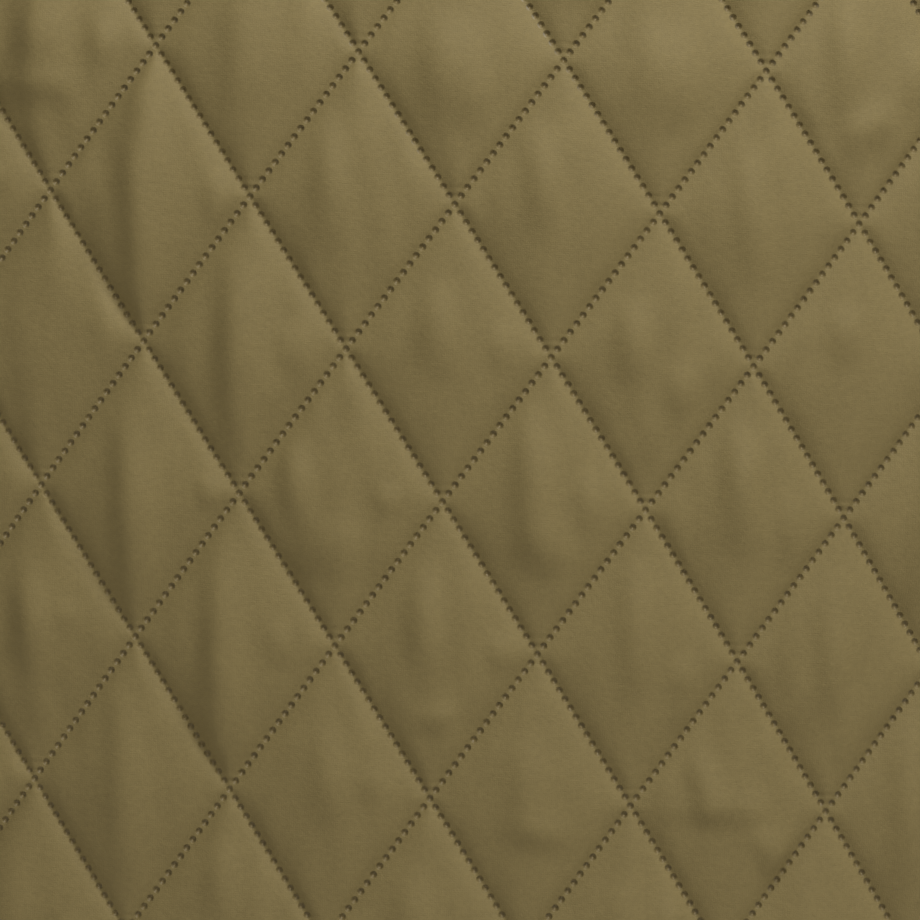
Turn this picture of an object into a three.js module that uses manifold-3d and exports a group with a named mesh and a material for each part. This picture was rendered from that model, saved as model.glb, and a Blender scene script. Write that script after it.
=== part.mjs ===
// A sleeveless quilted vest with a stand collar and a front zip, closed to the top, in the hollow shape
// that it takes when it is worn. Every panel is drawn as a flat pattern piece, filled with diamond
// quilting, and then laid on the form of a general torso. Millimetres, +Z up, the front faces -Y, the
// wearer's left is +X. The origin lies midway between the two neck points, where the shoulders carry the
// vest.
import * as THREE from "three";
import Module from "manifold-3d";

// ---- sizes ----

const torso = {
  halfWidth: 207, // from the middle to the side seam, on the chest line
  chestZ: -265, // the chest line, where the armholes end
  hemZ: -672,
  waist: 0.028, // how much the girth draws in half way down
  flare: 0.022, // how much it opens again at the hem
};
const shoulder = {
  neckX: 76, // the neck point, where the shoulder seam meets the collar
  tipX: 197, // the outer end of the shoulder seam
  slope: 0.4,
  crown: 60, // rounding of the shoulder line towards the neck
  seamY: 6, // the shoulder seam runs a little behind the middle
  spread: 0.4, // how far columns past the tip still move outwards
};
// Each half of the body: how deep it is on the chest line, the radius it turns on at the side and over the
// shoulder, and the height of its neckline in the middle, up the cloth from the chest line.
const halves = {
  front: { facing: -1, depth: 132, sideRound: 100, shoulderRound: 58, neckUp: 203 },
  back: { facing: 1, depth: 114, sideRound: 99, shoulderRound: 52, neckUp: 256 },
};
// cutIn and foot are the curve's pull towards the chest and along the underarm.
const armhole = { cutIn: 22, highest: 0.42, foot: 14 };
const collar = { front: 60, side: 50, back: 56, frontLean: 0.5, sideLean: 0.1, backLean: 0.05, bulge: 1.2 };

const cloth = { wall: 1.5, gap: 0.3 }; // the pressed thickness of the quilted cloth, and the gap at a seam
// Quilting lines run on both slants. puff is how far the filling lifts a diamond, which it reaches a
// little way, fade, from the piece's edge. A diamond is cut in so many parts each way outside, and in so
// many inside.
const quilt = { width: 50, height: 72.5, puff: 2.3, fade: 8, cuts: 3, innerCuts: 2 };
const outlineStep = 12.5;
const keepOff = 7; // how far the quilting's points stay from those of the edges
const binding = { width: 9, thick: 1.1, ease: 0.5 }; // ease is its gap from the cloth it folds over
const band = binding.width + 1; // kept flat under a binding
const tapeBand = 8.5; // kept flat over the zip's tape

const zip = {
  opening: 7, // from the middle to each front edge
  toothWidth: 2.85,
  toothTop: 0.6,
  toothBottom: -1.8,
  tapeWidth: 11.5,
  tapeTop: -0.3,
  tapeBottom: -0.9,
  step: 30,
  boxLength: 9,
  endRoom: 3, // bare tape above the stops
  stopLength: 3,
};
const slider = { width: 8.4, length: 11, plate: 1, play: 0.35, postLength: 3.2, bailWidth: 1.7, bailBar: 1 };
const pull = { width: 6.6, length: 25, thick: 1.3, bar: 1.3, windowWidth: 3.2, windowLength: 6.4, eye: 2.4 };

// The large soft folds, each a ridge (lift above 0) or a trough, on a half of the body. across and up say
// where its middle is, with the wearer's right below 0, and lean is its angle from upright in degrees.
const folds = [
  { half: "front", across: 166, up: -36, lean: 50, length: 150, width: 19, lift: -3.4 },
  { half: "front", across: 146, up: -84, lean: 46, length: 160, width: 21, lift: 3.2 },
  { half: "front", across: 116, up: 104, lean: -22, length: 170, width: 20, lift: -2.8 },
  { half: "front", across: 66, up: -407, lean: -4, length: 400, width: 30, lift: 4.2 },
  { half: "front", across: 124, up: -407, lean: 3, length: 340, width: 28, lift: -3.8 },
  { half: "front", across: 182, up: -407, lean: 5, length: 470, width: 32, lift: 5 },
  { half: "front", across: -174, up: -52, lean: -44, length: 140, width: 20, lift: -3.2 },
  { half: "front", across: -128, up: -72, lean: -52, length: 150, width: 22, lift: 2.8 },
  { half: "front", across: -112, up: 92, lean: 26, length: 160, width: 20, lift: -2.6 },
  { half: "front", across: -52, up: -407, lean: 2, length: 330, width: 28, lift: -3.4 },
  { half: "front", across: -104, up: -407, lean: -3, length: 440, width: 31, lift: 4.8 },
  { half: "front", across: -168, up: -407, lean: -6, length: 360, width: 28, lift: -3.6 },
  { half: "back", across: 178, up: -50, lean: 46, length: 140, width: 19, lift: -3.4 },
  { half: "back", across: 160, up: 92, lean: -12, length: 150, width: 20, lift: -2.6 },
  { half: "back", across: 132, up: -407, lean: 4, length: 350, width: 30, lift: 4.6 },
  { half: "back", across: 194, up: -407, lean: 3, length: 420, width: 28, lift: -3.8 },
  { half: "back", across: 40, up: -407, lean: -2, length: 250, width: 30, lift: -3.4 },
  { half: "back", across: -172, up: -42, lean: -48, length: 150, width: 20, lift: -3.4 },
  { half: "back", across: -156, up: 84, lean: 14, length: 160, width: 20, lift: -2.8 },
  { half: "back", across: -88, up: -407, lean: -3, length: 290, width: 30, lift: 4 },
  { half: "back", across: -146, up: -407, lean: -2, length: 390, width: 29, lift: -4 },
  { half: "back", across: -202, up: -407, lean: -5, length: 430, width: 30, lift: 4.6 },
];
const zipKeepsStraight = { from: 8, to: 40 }; // how far from the middle the front's folds grow

const colours = { cloth: 0x75683f, binding: 0x6c5f39, tape: 0x4e472c, metal: 0x7d7558 };
const finish = {
  cloth: new THREE.MeshStandardMaterial({ color: colours.cloth, roughness: 0.75 }),
  binding: new THREE.MeshStandardMaterial({ color: colours.binding, roughness: 0.7 }),
  tape: new THREE.MeshStandardMaterial({ color: colours.tape, roughness: 0.9 }),
  metal: new THREE.MeshStandardMaterial({ color: colours.metal, roughness: 0.35, metalness: 1 }),
};

// ---- the form of the torso ----

const ease = (t) => t * t * (3 - 2 * t);
const clamp01 = (t) => Math.min(1, Math.max(0, t));
// Evenly spread values about a step apart, with each step cut into so many parts.
const spread = (from, to, step, parts = 1) => {
  const count = parts * Math.max(1, Math.round(Math.abs(to - from) / step));
  return Array.from({ length: count + 1 }, (_, i) => from + ((to - from) * i) / count);
};
const between = (low, high, v) => ease(clamp01((v - low) / (high - low)));

// A quarter turn made of two arcs that touch: a wide one, then a tight one that ends square to the start.
// run is how far it goes forwards and rise how far sideways; at(s) is the point a length s along it.
function twoArcs(run, rise, tight) {
  const turn = 2 * Math.atan((rise - tight) / (run - tight));
  const wide = tight + (run - tight) / Math.sin(turn);
  const wideLength = wide * turn;
  return {
    length: wideLength + tight * (Math.PI / 2 - turn),
    at(s) {
      if (s < wideLength) return { run: wide * Math.sin(s / wide), rise: wide * (1 - Math.cos(s / wide)) };
      const angle = turn + (s - wideLength) / tight;
      return {
        run: wide * Math.sin(turn) + tight * (Math.sin(angle) - Math.sin(turn)),
        rise: wide * (1 - Math.cos(turn)) + tight * (Math.cos(turn) - Math.cos(angle)),
      };
    },
  };
}

for (const half of Object.values(halves)) half.ring = twoArcs(torso.halfWidth, half.depth, half.sideRound);

const shoulderHeight = (x) =>
  -shoulder.slope * (Math.hypot(x, shoulder.crown) - Math.hypot(shoulder.neckX, shoulder.crown));

// A column of cloth: it starts across the chest line, climbs upright, and bends over the shoulder to the
// seam.
function column(half, across) {
  const onRing = half.ring.at(across);
  const foot = { x: onRing.run, out: half.depth - onRing.rise };
  const pastTip = Math.max(0, across - shoulder.tipX);
  const topX = Math.min(across, shoulder.tipX) + shoulder.spread * pastTip;
  const seamY = shoulder.seamY * (1 - between(shoulder.tipX, half.ring.length, across));
  const height = shoulderHeight(topX) - torso.chestZ;
  const reach = Math.max(2, foot.out - half.facing * seamY);
  const arcs = twoArcs(height, reach, Math.min(half.shoulderRound, 0.75 * reach));
  return { foot, topX, height, arcs };
}
const seamUp = (half, across) => column(half, Math.abs(across)).arcs.length;

// The form without folds. across is measured along the chest line, up along the cloth from that line.
function bareForm(half, across, up) {
  const side = across < 0 ? -1 : 1;
  const { foot, topX, height, arcs } = column(half, Math.abs(across));
  if (up <= 0) {
    const down = up / (torso.hemZ - torso.chestZ);
    const girth = 1 - torso.waist * Math.sin(Math.PI * down) ** 2 + torso.flare * down * down;
    return new THREE.Vector3(side * foot.x * girth, half.facing * foot.out * girth, torso.chestZ + up);
  }
  const climb = arcs.at(up);
  const x = foot.x + (topX - foot.x) * ease(clamp01(climb.run / height));
  return new THREE.Vector3(side * x, half.facing * (foot.out - climb.rise), torso.chestZ + climb.run);
}

// The outward normal of any surface (a, b) => point, whose a runs to the right and b up as seen from
// outside.
function normalOf(surface, a, b) {
  const step = 0.5;
  const alongA = surface(a + step, b).sub(surface(a - step, b));
  const alongB = surface(a, b + step).sub(surface(a, b - step));
  return alongA.cross(alongB).normalize();
}

function foldLift(halfName, across, up) {
  let lift = 0;
  for (const f of folds.filter((f) => f.half === halfName)) {
    const lean = THREE.MathUtils.degToRad(f.lean);
    const dx = across - f.across;
    const dy = up - f.up;
    const along = dx * Math.sin(lean) + dy * Math.cos(lean);
    const aside = dx * Math.cos(lean) - dy * Math.sin(lean);
    if (Math.abs(along) < f.length / 2)
      lift += f.lift * Math.cos((Math.PI * along) / f.length) ** 2 * Math.exp(-((aside / f.width) ** 2));
  }
  const reach = Math.abs(across);
  const sideSeam = halves[halfName].ring.length;
  if (halfName === "front") lift *= between(zipKeepsStraight.from, zipKeepsStraight.to, reach);
  return lift * (1 - between(sideSeam - 34, sideSeam - 6, reach));
}

// The worn surface of a half. side is 1 for the wearer's left and -1 for the right, whose points are given
// mirrored to the left, because its pieces are drawn there too.
function wornSurface(halfName, side) {
  const half = halves[halfName];
  const bare = (across, up) => bareForm(half, across, up);
  return (across, up) => {
    const lift = foldLift(halfName, side * across, up);
    return bare(across, up).addScaledVector(normalOf(bare, across, up), -half.facing * lift);
  };
}
const fronts = { 1: wornSurface("front", 1), "-1": wornSurface("front", -1) };
const backs = { 1: wornSurface("back", 1), "-1": wornSurface("back", -1) };

// ---- the collar ----

// The neckline of one half, from the middle (0) to the neck point (a right angle), in pattern measures.
const neckStep = 0.14;
const neckParts = 4; // the collar's form is worked out at so many places in each step
function neckline(half, angle) {
  const top = seamUp(half, shoulder.neckX);
  return {
    across: shoulder.neckX * Math.sin(angle),
    up: top + (half.neckUp - top) * Math.cos(angle),
  };
}

// Angles of the neckline's stations from where a panel's edge starts, inner from the middle, to the neck
// point.
const neckAngles = (inner, parts) => spread(Math.asin(inner / shoulder.neckX), Math.PI / 2, neckStep, parts);

// Stations round the left side of the neck, from the middle of the front to the middle of the back.
function neckStationOn(half, surface, middleLean, middleHeight, angle) {
  const spot = neckline(half, angle);
  const ahead = neckline(half, angle + 0.01);
  const behind = neckline(half, angle - 0.01);
  const along = new THREE.Vector2(ahead.across - behind.across, ahead.up - behind.up).normalize();
  const point = surface(spot.across, spot.up);
  const inside = surface(spot.across + along.y, spot.up - along.x).sub(point).normalize();
  const middle = Math.cos(angle) ** 2;
  const inward = new THREE.Vector3(-(Math.sin(angle) ** 2), -half.facing * Math.cos(angle), 0).normalize();
  const lean = collar.sideLean + (middleLean - collar.sideLean) * middle;
  const rise = new THREE.Vector3(0, 0, 1).addScaledVector(inward, lean).normalize();
  return { point, inside, rise, height: collar.side + (middleHeight - collar.side) * middle };
}
const neckStations = [
  ...[0, ...neckAngles(zip.opening, neckParts)].map((angle) =>
    neckStationOn(halves.front, fronts[1], collar.frontLean, collar.front, angle)),
  ...neckAngles(0, neckParts).reverse().slice(1).map((angle) =>
    neckStationOn(halves.back, backs[1], collar.backLean, collar.back, angle)),
];
// Each station is moved off the panel's edge: by the seam's gap, and by the wall where the collar turns
// up.
neckStations.forEach((s, i) => {
  const before = neckStations[Math.max(0, i - 1)].point;
  const after = neckStations[Math.min(neckStations.length - 1, i + 1)].point;
  s.outward = after.clone().sub(before).cross(s.rise).normalize();
  const lap = cloth.gap + cloth.wall * Math.max(0, s.outward.dot(s.inside));
  s.base = s.point.clone().addScaledVector(s.inside, -lap);
});
neckStations[0].run = 0;
for (let i = 1; i < neckStations.length; i++)
  neckStations[i].run = neckStations[i - 1].run + neckStations[i].base.distanceTo(neckStations[i - 1].base);
const halfNeck = neckStations.at(-1).run;

function neckStation(run) {
  const last = neckStations.length - 1;
  const i = Math.max(1, neckStations.findIndex((s, k) => k > 0 && (s.run >= run || k === last)));
  const [a, b] = [neckStations[i - 1], neckStations[i]];
  const t = (run - a.run) / (b.run - a.run);
  return {
    base: a.base.clone().lerp(b.base, t),
    rise: a.rise.clone().lerp(b.rise, t).normalize(),
    height: a.height + (b.height - a.height) * t,
  };
}
// run goes from the middle of the front round the wearer's left to the back and on, up is along the
// collar.
function collarSurface(run, up) {
  const left = run <= halfNeck;
  const { base, rise, height } = neckStation(left ? run : 2 * halfNeck - run);
  const point = base.addScaledVector(rise, up);
  const bulge = collar.bulge * Math.sin(Math.PI * clamp01(up / height));
  point.x += bulge * clamp01((point.x - 10) / 40);
  return left ? point : point.setX(-point.x);
}
const collarHeight = (run) => neckStation(run <= halfNeck ? run : 2 * halfNeck - run).height;

// ---- meshes ----

// Delaunay triangles of flat points, which are added one at a time.
function delaunay(points) {
  const far = 1e5;
  const all = [...points, [-far, -far], [far, -far], [0, far]];
  const n = points.length;
  const withCircle = (a, b, c) => {
    const [[ax, ay], [bx, by], [cx, cy]] = [all[a], all[b], all[c]];
    const d = 2 * (ax * (by - cy) + bx * (cy - ay) + cx * (ay - by));
    const [a2, b2, c2] = [ax * ax + ay * ay, bx * bx + by * by, cx * cx + cy * cy];
    const x = (a2 * (by - cy) + b2 * (cy - ay) + c2 * (ay - by)) / d;
    const y = (a2 * (cx - bx) + b2 * (ax - cx) + c2 * (bx - ax)) / d;
    return { corners: [a, b, c], x, y, reach: (ax - x) ** 2 + (ay - y) ** 2 };
  };
  let triangles = [withCircle(n, n + 1, n + 2)];
  for (let i = 0; i < n; i++) {
    const [px, py] = all[i];
    const rim = new Map();
    triangles = triangles.filter((t) => {
      if ((px - t.x) ** 2 + (py - t.y) ** 2 >= t.reach - 1e-7) return true;
      for (let k = 0; k < 3; k++) {
        const [a, b] = [t.corners[k], t.corners[(k + 1) % 3]];
        if (!rim.delete(b + "," + a)) rim.set(a + "," + b, [a, b]);
      }
      return false;
    });
    for (const [a, b] of rim.values()) triangles.push(withCircle(a, b, i));
  }
  return triangles.map((t) => t.corners).filter((t) => t.every((k) => k < n));
}

// An outline is a list of pattern points [across, up, trim] that runs anticlockwise. trim is how wide a
// band is kept flat inside the edge that starts at the point, for what is sewn there.
const nextOf = (outline, i) => outline[(i + 1) % outline.length];
const previousOf = (outline, i) => outline[(i + outline.length - 1) % outline.length];

function isInside(outline, [x, y]) {
  let inside = false;
  outline.forEach(([x1, y1], i) => {
    const [x2, y2] = nextOf(outline, i);
    if (y1 > y !== y2 > y && x < x1 + ((y - y1) / (y2 - y1)) * (x2 - x1)) inside = !inside;
  });
  return inside;
}

// The least distance from the flat band of an outline's edges.
function roomInside(outline, [x, y]) {
  let room = Infinity;
  outline.forEach(([x1, y1, trim], i) => {
    const [x2, y2] = nextOf(outline, i);
    const [dx, dy] = [x2 - x1, y2 - y1];
    const t = clamp01(((x - x1) * dx + (y - y1) * dy) / (dx * dx + dy * dy));
    room = Math.min(room, Math.hypot(x - x1 - t * dx, y - y1 - t * dy) - trim);
  });
  return room;
}

// The direction into the cloth at an outline's point. Where a flat band ends, it follows the next edge
// instead.
function inwardAt(outline, i) {
  const [before, here, after] = [previousOf(outline, i), outline[i], nextOf(outline, i)];
  const inward = new THREE.Vector2();
  if (here[2] > 0 && before[2] > 0) inward.set(before[1] - after[1], after[0] - before[0]);
  else if (here[2] > 0) inward.set(before[0] - here[0], before[1] - here[1]);
  else inward.set(after[0] - here[0], after[1] - here[1]);
  return inward.normalize();
}

// The inner border of the flat bands.
function bandPoints(outline) {
  const found = [];
  outline.forEach((here, i) => {
    if (!(here[2] > 0 && previousOf(outline, i)[2] > 0)) return;
    const inward = inwardAt(outline, i);
    const p = [here[0] + inward.x * here[2], here[1] + inward.y * here[2]];
    if (roomInside(outline, p) > -0.3 * here[2]) found.push(p);
  });
  return found;
}

// The crossing points of two slanting families of lines, each cut into equal parts, that lie inside an
// outline.
function slantedPoints(outline, width, height, cuts, margin) {
  const [xs, ys] = [outline.map((p) => p[0]), outline.map((p) => p[1])];
  const [left, right, low, high] = [Math.min(...xs), Math.max(...xs), Math.min(...ys), Math.max(...ys)];
  const found = [];
  const firstRise = Math.floor((left / width + low / height) * cuts);
  const firstFall = Math.floor((left / width - high / height) * cuts);
  for (let i = firstRise; i <= (right / width + high / height) * cuts; i++)
    for (let j = firstFall; j <= (right / width - low / height) * cuts; j++) {
      const p = [(width * (i + j)) / (2 * cuts), (height * (i - j)) / (2 * cuts)];
      if (isInside(outline, p) && roomInside(outline, p) > margin) found.push(p);
    }
  return found;
}

// How far the filling lifts the cloth: nothing on the quilting lines, which run on both slants.
function quiltLift(x, y) {
  const rounded = (v) => 1 - Math.abs(2 * (v - Math.floor(v)) - 1) ** 4;
  const [a, b] = [x / quilt.width, y / quilt.height];
  return quilt.puff * rounded(a + b) * rounded(a - b);
}

function geometryOf(positions, triangles) {
  const geometry = new THREE.BufferGeometry();
  const numbers = positions.flatMap((p) => [p.x, p.y, p.z]);
  geometry.setAttribute("position", new THREE.Float32BufferAttribute(numbers, 3));
  geometry.setIndex(triangles.flat());
  return geometry;
}

// A quilted panel: raised diamonds outside, plain inside, both cut to the outline.
function quiltedPanel(outline, surface, turn) {
  const rim = outline.length;
  const onSurface = ([a, b], out) => surface(a, b).addScaledVector(normalOf(surface, a, b), turn * out);
  const border = [...outline, ...bandPoints(outline)];
  const outerFlat = [...border, ...slantedPoints(outline, quilt.width, quilt.height, quilt.cuts, keepOff)];
  const innerField = slantedPoints(outline, quilt.width, quilt.height, quilt.innerCuts, keepOff);
  const innerFlat = [...border, ...innerField];
  const outer = outerFlat.map((p, i) => {
    const fade = i < border.length ? 0 : between(0, quilt.fade, roomInside(outline, p));
    return onSurface(p, cloth.wall + fade * quiltLift(...p));
  });
  const inner = innerFlat.map((p) => onSurface(p, 0));
  const middleOf = (corners) => [0, 1].map((k) => corners.reduce((sum, p) => sum + p[k] / 3, 0));
  const signedArea = ([p, q, r]) => (q[0] - p[0]) * (r[1] - p[1]) - (q[1] - p[1]) * (r[0] - p[0]);
  const sheet = (flat) => {
    const kept = delaunay(flat).filter((t) => isInside(outline, middleOf(t.map((i) => flat[i]))));
    return kept.map(([a, b, c]) => (signedArea([flat[a], flat[b], flat[c]]) > 0 ? [a, b, c] : [a, c, b]));
  };
  const n = outer.length;
  const faces = [
    ...sheet(outerFlat),
    ...sheet(innerFlat).map(([a, b, c]) => [n + a, n + c, n + b]),
  ];
  for (let i = 0; i < rim; i++) {
    const j = (i + 1) % rim;
    faces.push([i, n + i, n + j], [i, n + j, j]);
  }
  return geometryOf([...outer, ...inner], turn > 0 ? faces : faces.map(([a, b, c]) => [a, c, b]));
}

// A strip of constant section. Each station turns a section point (in, out) into a place. A loop closes
// on itself.
function swept(stations, section, loop) {
  const count = section.length;
  const positions = stations.flatMap((place) => section.map(([inward, out]) => place(inward, out)));
  const faces = [];
  const steps = loop ? stations.length : stations.length - 1;
  for (let i = 0; i < steps; i++)
    for (let k = 0; k < count; k++) {
      const [a, b] = [i * count + k, i * count + ((k + 1) % count)];
      const next = (((i + 1) % stations.length) - i) * count;
      faces.push([a, b, b + next], [a, b + next, a + next]);
    }
  if (!loop) {
    const cap = THREE.ShapeUtils.triangulateShape(section.map(([u, v]) => new THREE.Vector2(u, v)), []);
    const last = (stations.length - 1) * count;
    for (const [a, b, c] of cap) faces.push([a, c, b], [last + a, last + b, last + c]);
  }
  const geometry = geometryOf(positions, faces);
  return volumeOf(geometry) < 0 ? geometryOf(positions, faces.map(([a, b, c]) => [a, c, b])) : geometry;
}

function volumeOf(geometry) {
  const at = geometry.getAttribute("position");
  const corner = (i) => new THREE.Vector3().fromBufferAttribute(at, geometry.index.getX(i));
  let sum = 0;
  for (let i = 0; i < geometry.index.count; i += 3) sum += corner(i).dot(corner(i + 1).cross(corner(i + 2)));
  return sum;
}

// ---- the pattern pieces ----

// The armhole of a half, from the underarm (0) to the shoulder's tip (1).
function armholeCurve(half) {
  const tip = seamUp(half, shoulder.tipX);
  return new THREE.CubicBezierCurve(
    new THREE.Vector2(half.ring.length, 0),
    new THREE.Vector2(shoulder.tipX + armhole.foot, 0),
    new THREE.Vector2(shoulder.tipX - armhole.cutIn, armhole.highest * tip),
    new THREE.Vector2(shoulder.tipX, tip),
  );
}

const withTrim = (points, trim) => points.map(([x, y]) => [x, y, trim]);
const hem = torso.hemZ - torso.chestZ;

// The right-hand outline of a half's pattern: along the hem, up the side, round the armhole, along the
// shoulder and down the neck. Beside each end of a bound edge there is a point at the end of its flat
// band.
function sideOutline(half, inner) {
  const seam = cloth.gap / 2;
  const side = half.ring.length - seam;
  const bottom = spread(inner, side, outlineStep).map((x) => [x, hem]);
  const sideUps = [hem, ...spread(hem + band, -band, outlineStep)];
  const curve = armholeCurve(half);
  const arm = curve.getSpacedPoints(Math.round(curve.getLength() / outlineStep)).map((p) => [p.x, p.y]);
  arm[0][0] = side;
  arm.at(-1)[1] -= seam;
  const top = [shoulder.tipX, ...spread(shoulder.tipX - band, shoulder.neckX, outlineStep)];
  const neck = neckAngles(inner).reverse().map((angle) => {
    const spot = neckline(half, angle);
    return [spot.across, spot.up];
  });
  neck[0][1] -= seam;
  return [
    ...withTrim(bottom.slice(0, -1), band),
    ...withTrim(sideUps.map((y) => [side, y]), 0),
    ...withTrim(arm.slice(0, -1), band),
    ...withTrim(top.slice(0, -1).map((x) => [x, seamUp(half, x) - seam]), 0),
    ...withTrim(neck, 0),
  ];
}

const frontOutline = (() => {
  const outline = sideOutline(halves.front, zip.opening);
  const edge = spread(halves.front.neckUp - 6, hem + band, outlineStep).map((y) => [zip.opening, y]);
  return [...outline, ...withTrim(edge.slice(0, -1), tapeBand), ...withTrim(edge.slice(-1), 0)];
})();
const backOutline = (() => {
  const right = sideOutline(halves.back, 0);
  const left = right.slice(1, -1).map(([x, y], i) => [-x, y, right[i][2]]);
  return [...right, ...left.reverse()];
})();
const collarOutline = (() => {
  const [from, to] = [zip.opening, 2 * halfNeck - zip.opening];
  const half = neckStations.filter((_, i) => i % neckParts === 1).map((s) => s.run);
  const low = [...half, ...half.slice(0, -1).reverse().map((run) => 2 * halfNeck - run)];
  const high = spread(to, from, outlineStep).map((run) => [run, collarHeight(run)]);
  const end = (run) => spread(6, collarHeight(run) - band, outlineStep).map((up) => [run, up]);
  return [
    ...withTrim(low.map((run) => [run, 0]), 0),
    ...withTrim(end(to).slice(0, -1), tapeBand),
    ...withTrim(end(to).slice(-1), 0),
    ...withTrim(high.slice(0, -1), band),
    ...withTrim(high.slice(-1), 0),
    ...withTrim(end(from).slice(1).reverse(), tapeBand),
    ...withTrim(end(from).slice(0, 1), 0),
  ];
})();

// A folded tape round an edge: out over the face, round the edge and back under the inside.
const bindingSection = (() => {
  const { width, thick, ease: gap } = binding;
  const [face, under, edge] = [cloth.wall + gap, -gap, -cloth.gap];
  return [
    [width, face], [width, face + 0.6 * thick], [0, face + thick], [edge - thick, cloth.wall / 2],
    [0, under - thick], [width, under - 0.6 * thick], [width, under], [edge, under], [edge, face],
  ];
})();

// The stations of a binding, on the run of an outline's points whose bands are as wide as the binding's.
// Each turns a place in the binding's section, inward from the edge and out from the cloth, into a point.
function bindingStations(outline, surface, turn, isPart = () => true) {
  const stations = [];
  outline.forEach(([a, b, trim], i) => {
    if ((trim !== band && previousOf(outline, i)[2] !== band) || !isPart([a, b])) return;
    const inward = inwardAt(outline, i);
    const heading = surface(a + inward.x, b + inward.y).sub(surface(a, b)).normalize();
    stations.push((distance, out) => {
      const within = Math.max(0, distance);
      const [pa, pb] = [a + inward.x * within, b + inward.y * within];
      const point = surface(pa, pb).addScaledVector(normalOf(surface, pa, pb), turn * out);
      return point.addScaledVector(heading, Math.min(0, distance));
    });
  });
  return stations;
}
const mirrored = (place) => (distance, out) => {
  const point = place(distance, out);
  return point.setX(-point.x);
};

// Left and right stations are both worked out on the left, as the panels are.
function armholeStations(side) {
  const isArm = ([a, b]) => a > 0 && b > -1;
  const up = bindingStations(frontOutline, fronts[side], 1, isArm);
  const down = bindingStations(backOutline, backs[side], -1, isArm).reverse();
  return [...up, ...down.slice(1, -1)];
}
function hemStations() {
  const isHem = ([a, b]) => a >= 0 && b < hem + 1;
  const halfWay = (side) => {
    const front = bindingStations(frontOutline, fronts[side], 1, isHem);
    return [...front, ...bindingStations(backOutline, backs[side], -1, isHem).reverse().slice(1)];
  };
  return [...halfWay(1), ...halfWay(-1).slice(0, -1).reverse().map(mirrored)];
}
const collarTopStations = () => bindingStations(collarOutline, collarSurface, 1);

// ---- the zip ----

// The zip starts above the hem's binding and ends below the collar's. A place on it is so far across from
// the middle and out from the cloth, at a length up from the hem.
const bodyLength = halves.front.neckUp - hem;
const zipStart = band;
const zipEnd = bodyLength + cloth.gap + collarHeight(zip.opening) - band;
function onBody(length, side) {
  if (length <= bodyLength) return { surface: fronts[side], up: length + hem };
  return { surface: collarSurface, up: Math.max(0, length - bodyLength - cloth.gap) };
}
function onZip(length) {
  const { surface, up } = onBody(length, 1);
  const middle = surface(0.01, up);
  const normal = normalOf(surface, 1, up).setX(0).normalize();
  return (across, out) => new THREE.Vector3(across, middle.y + normal.y * out, middle.z + normal.z * out);
}
// A place on the tape, which follows the inside of the front.
function onTape(length, side) {
  const { surface, up } = onBody(length, side);
  return (across, out) => surface(across, up).addScaledVector(normalOf(surface, across, up), out);
}
const sliderAt = zipEnd - zip.endRoom - zip.stopLength - slider.length / 2 - 1;

// The lengths at which the front's and the collar's edges have their points.
const edgeLengths = [
  ...frontOutline.filter(([a]) => a === zip.opening).map(([, b]) => b - hem),
  ...collarOutline.filter(([a]) => a === zip.opening).map(([, b]) => b + bodyLength + cloth.gap),
].sort((a, b) => a - b);

const stripSection = (low, high, bottom, top) => [[low, bottom], [high, bottom], [high, top], [low, top]];
function zipStrip(from, to, low, high, bottom, top) {
  return swept(spread(from, to, zip.step).map(onZip), stripSection(low, high, bottom, top), false);
}
function tapeGeometry(side) {
  const low = zip.toothWidth + 0.15 + cloth.gap;
  const lengths = [zipStart, ...edgeLengths.filter((l) => l > zipStart + 1 && l < zipEnd - 1), zipEnd];
  const section = stripSection(low, low + zip.tapeWidth, zip.tapeBottom, zip.tapeTop);
  return swept(lengths.map((length) => onTape(length, side)), section, false);
}

const wasm = await Module();
wasm.setup();

function toSolid(geometry) {
  const vertProperties = new Float32Array(geometry.getAttribute("position").array);
  const triVerts = new Uint32Array(geometry.index.array);
  return new wasm.Manifold(new wasm.Mesh({ numProp: 3, vertProperties, triVerts }));
}
function fromSolid(solid) {
  const mesh = solid.getMesh();
  const geometry = new THREE.BufferGeometry();
  geometry.setAttribute("position", new THREE.Float32BufferAttribute(mesh.vertProperties, 3));
  geometry.setIndex([...mesh.triVerts]);
  return geometry;
}
// A block between two corners.
function block(low, high) {
  const corners = [];
  for (const z of [low[2], high[2]])
    for (const [x, y] of [[low[0], low[1]], [high[0], low[1]], [high[0], high[1]], [low[0], high[1]]])
      corners.push(new THREE.Vector3(x, y, z));
  return geometryOf(corners, [
    [0, 2, 1], [0, 3, 2], [4, 5, 6], [4, 6, 7], [0, 1, 5], [0, 5, 4],
    [1, 2, 6], [1, 6, 5], [2, 3, 7], [2, 7, 6], [3, 0, 4], [3, 4, 7],
  ]);
}

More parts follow.
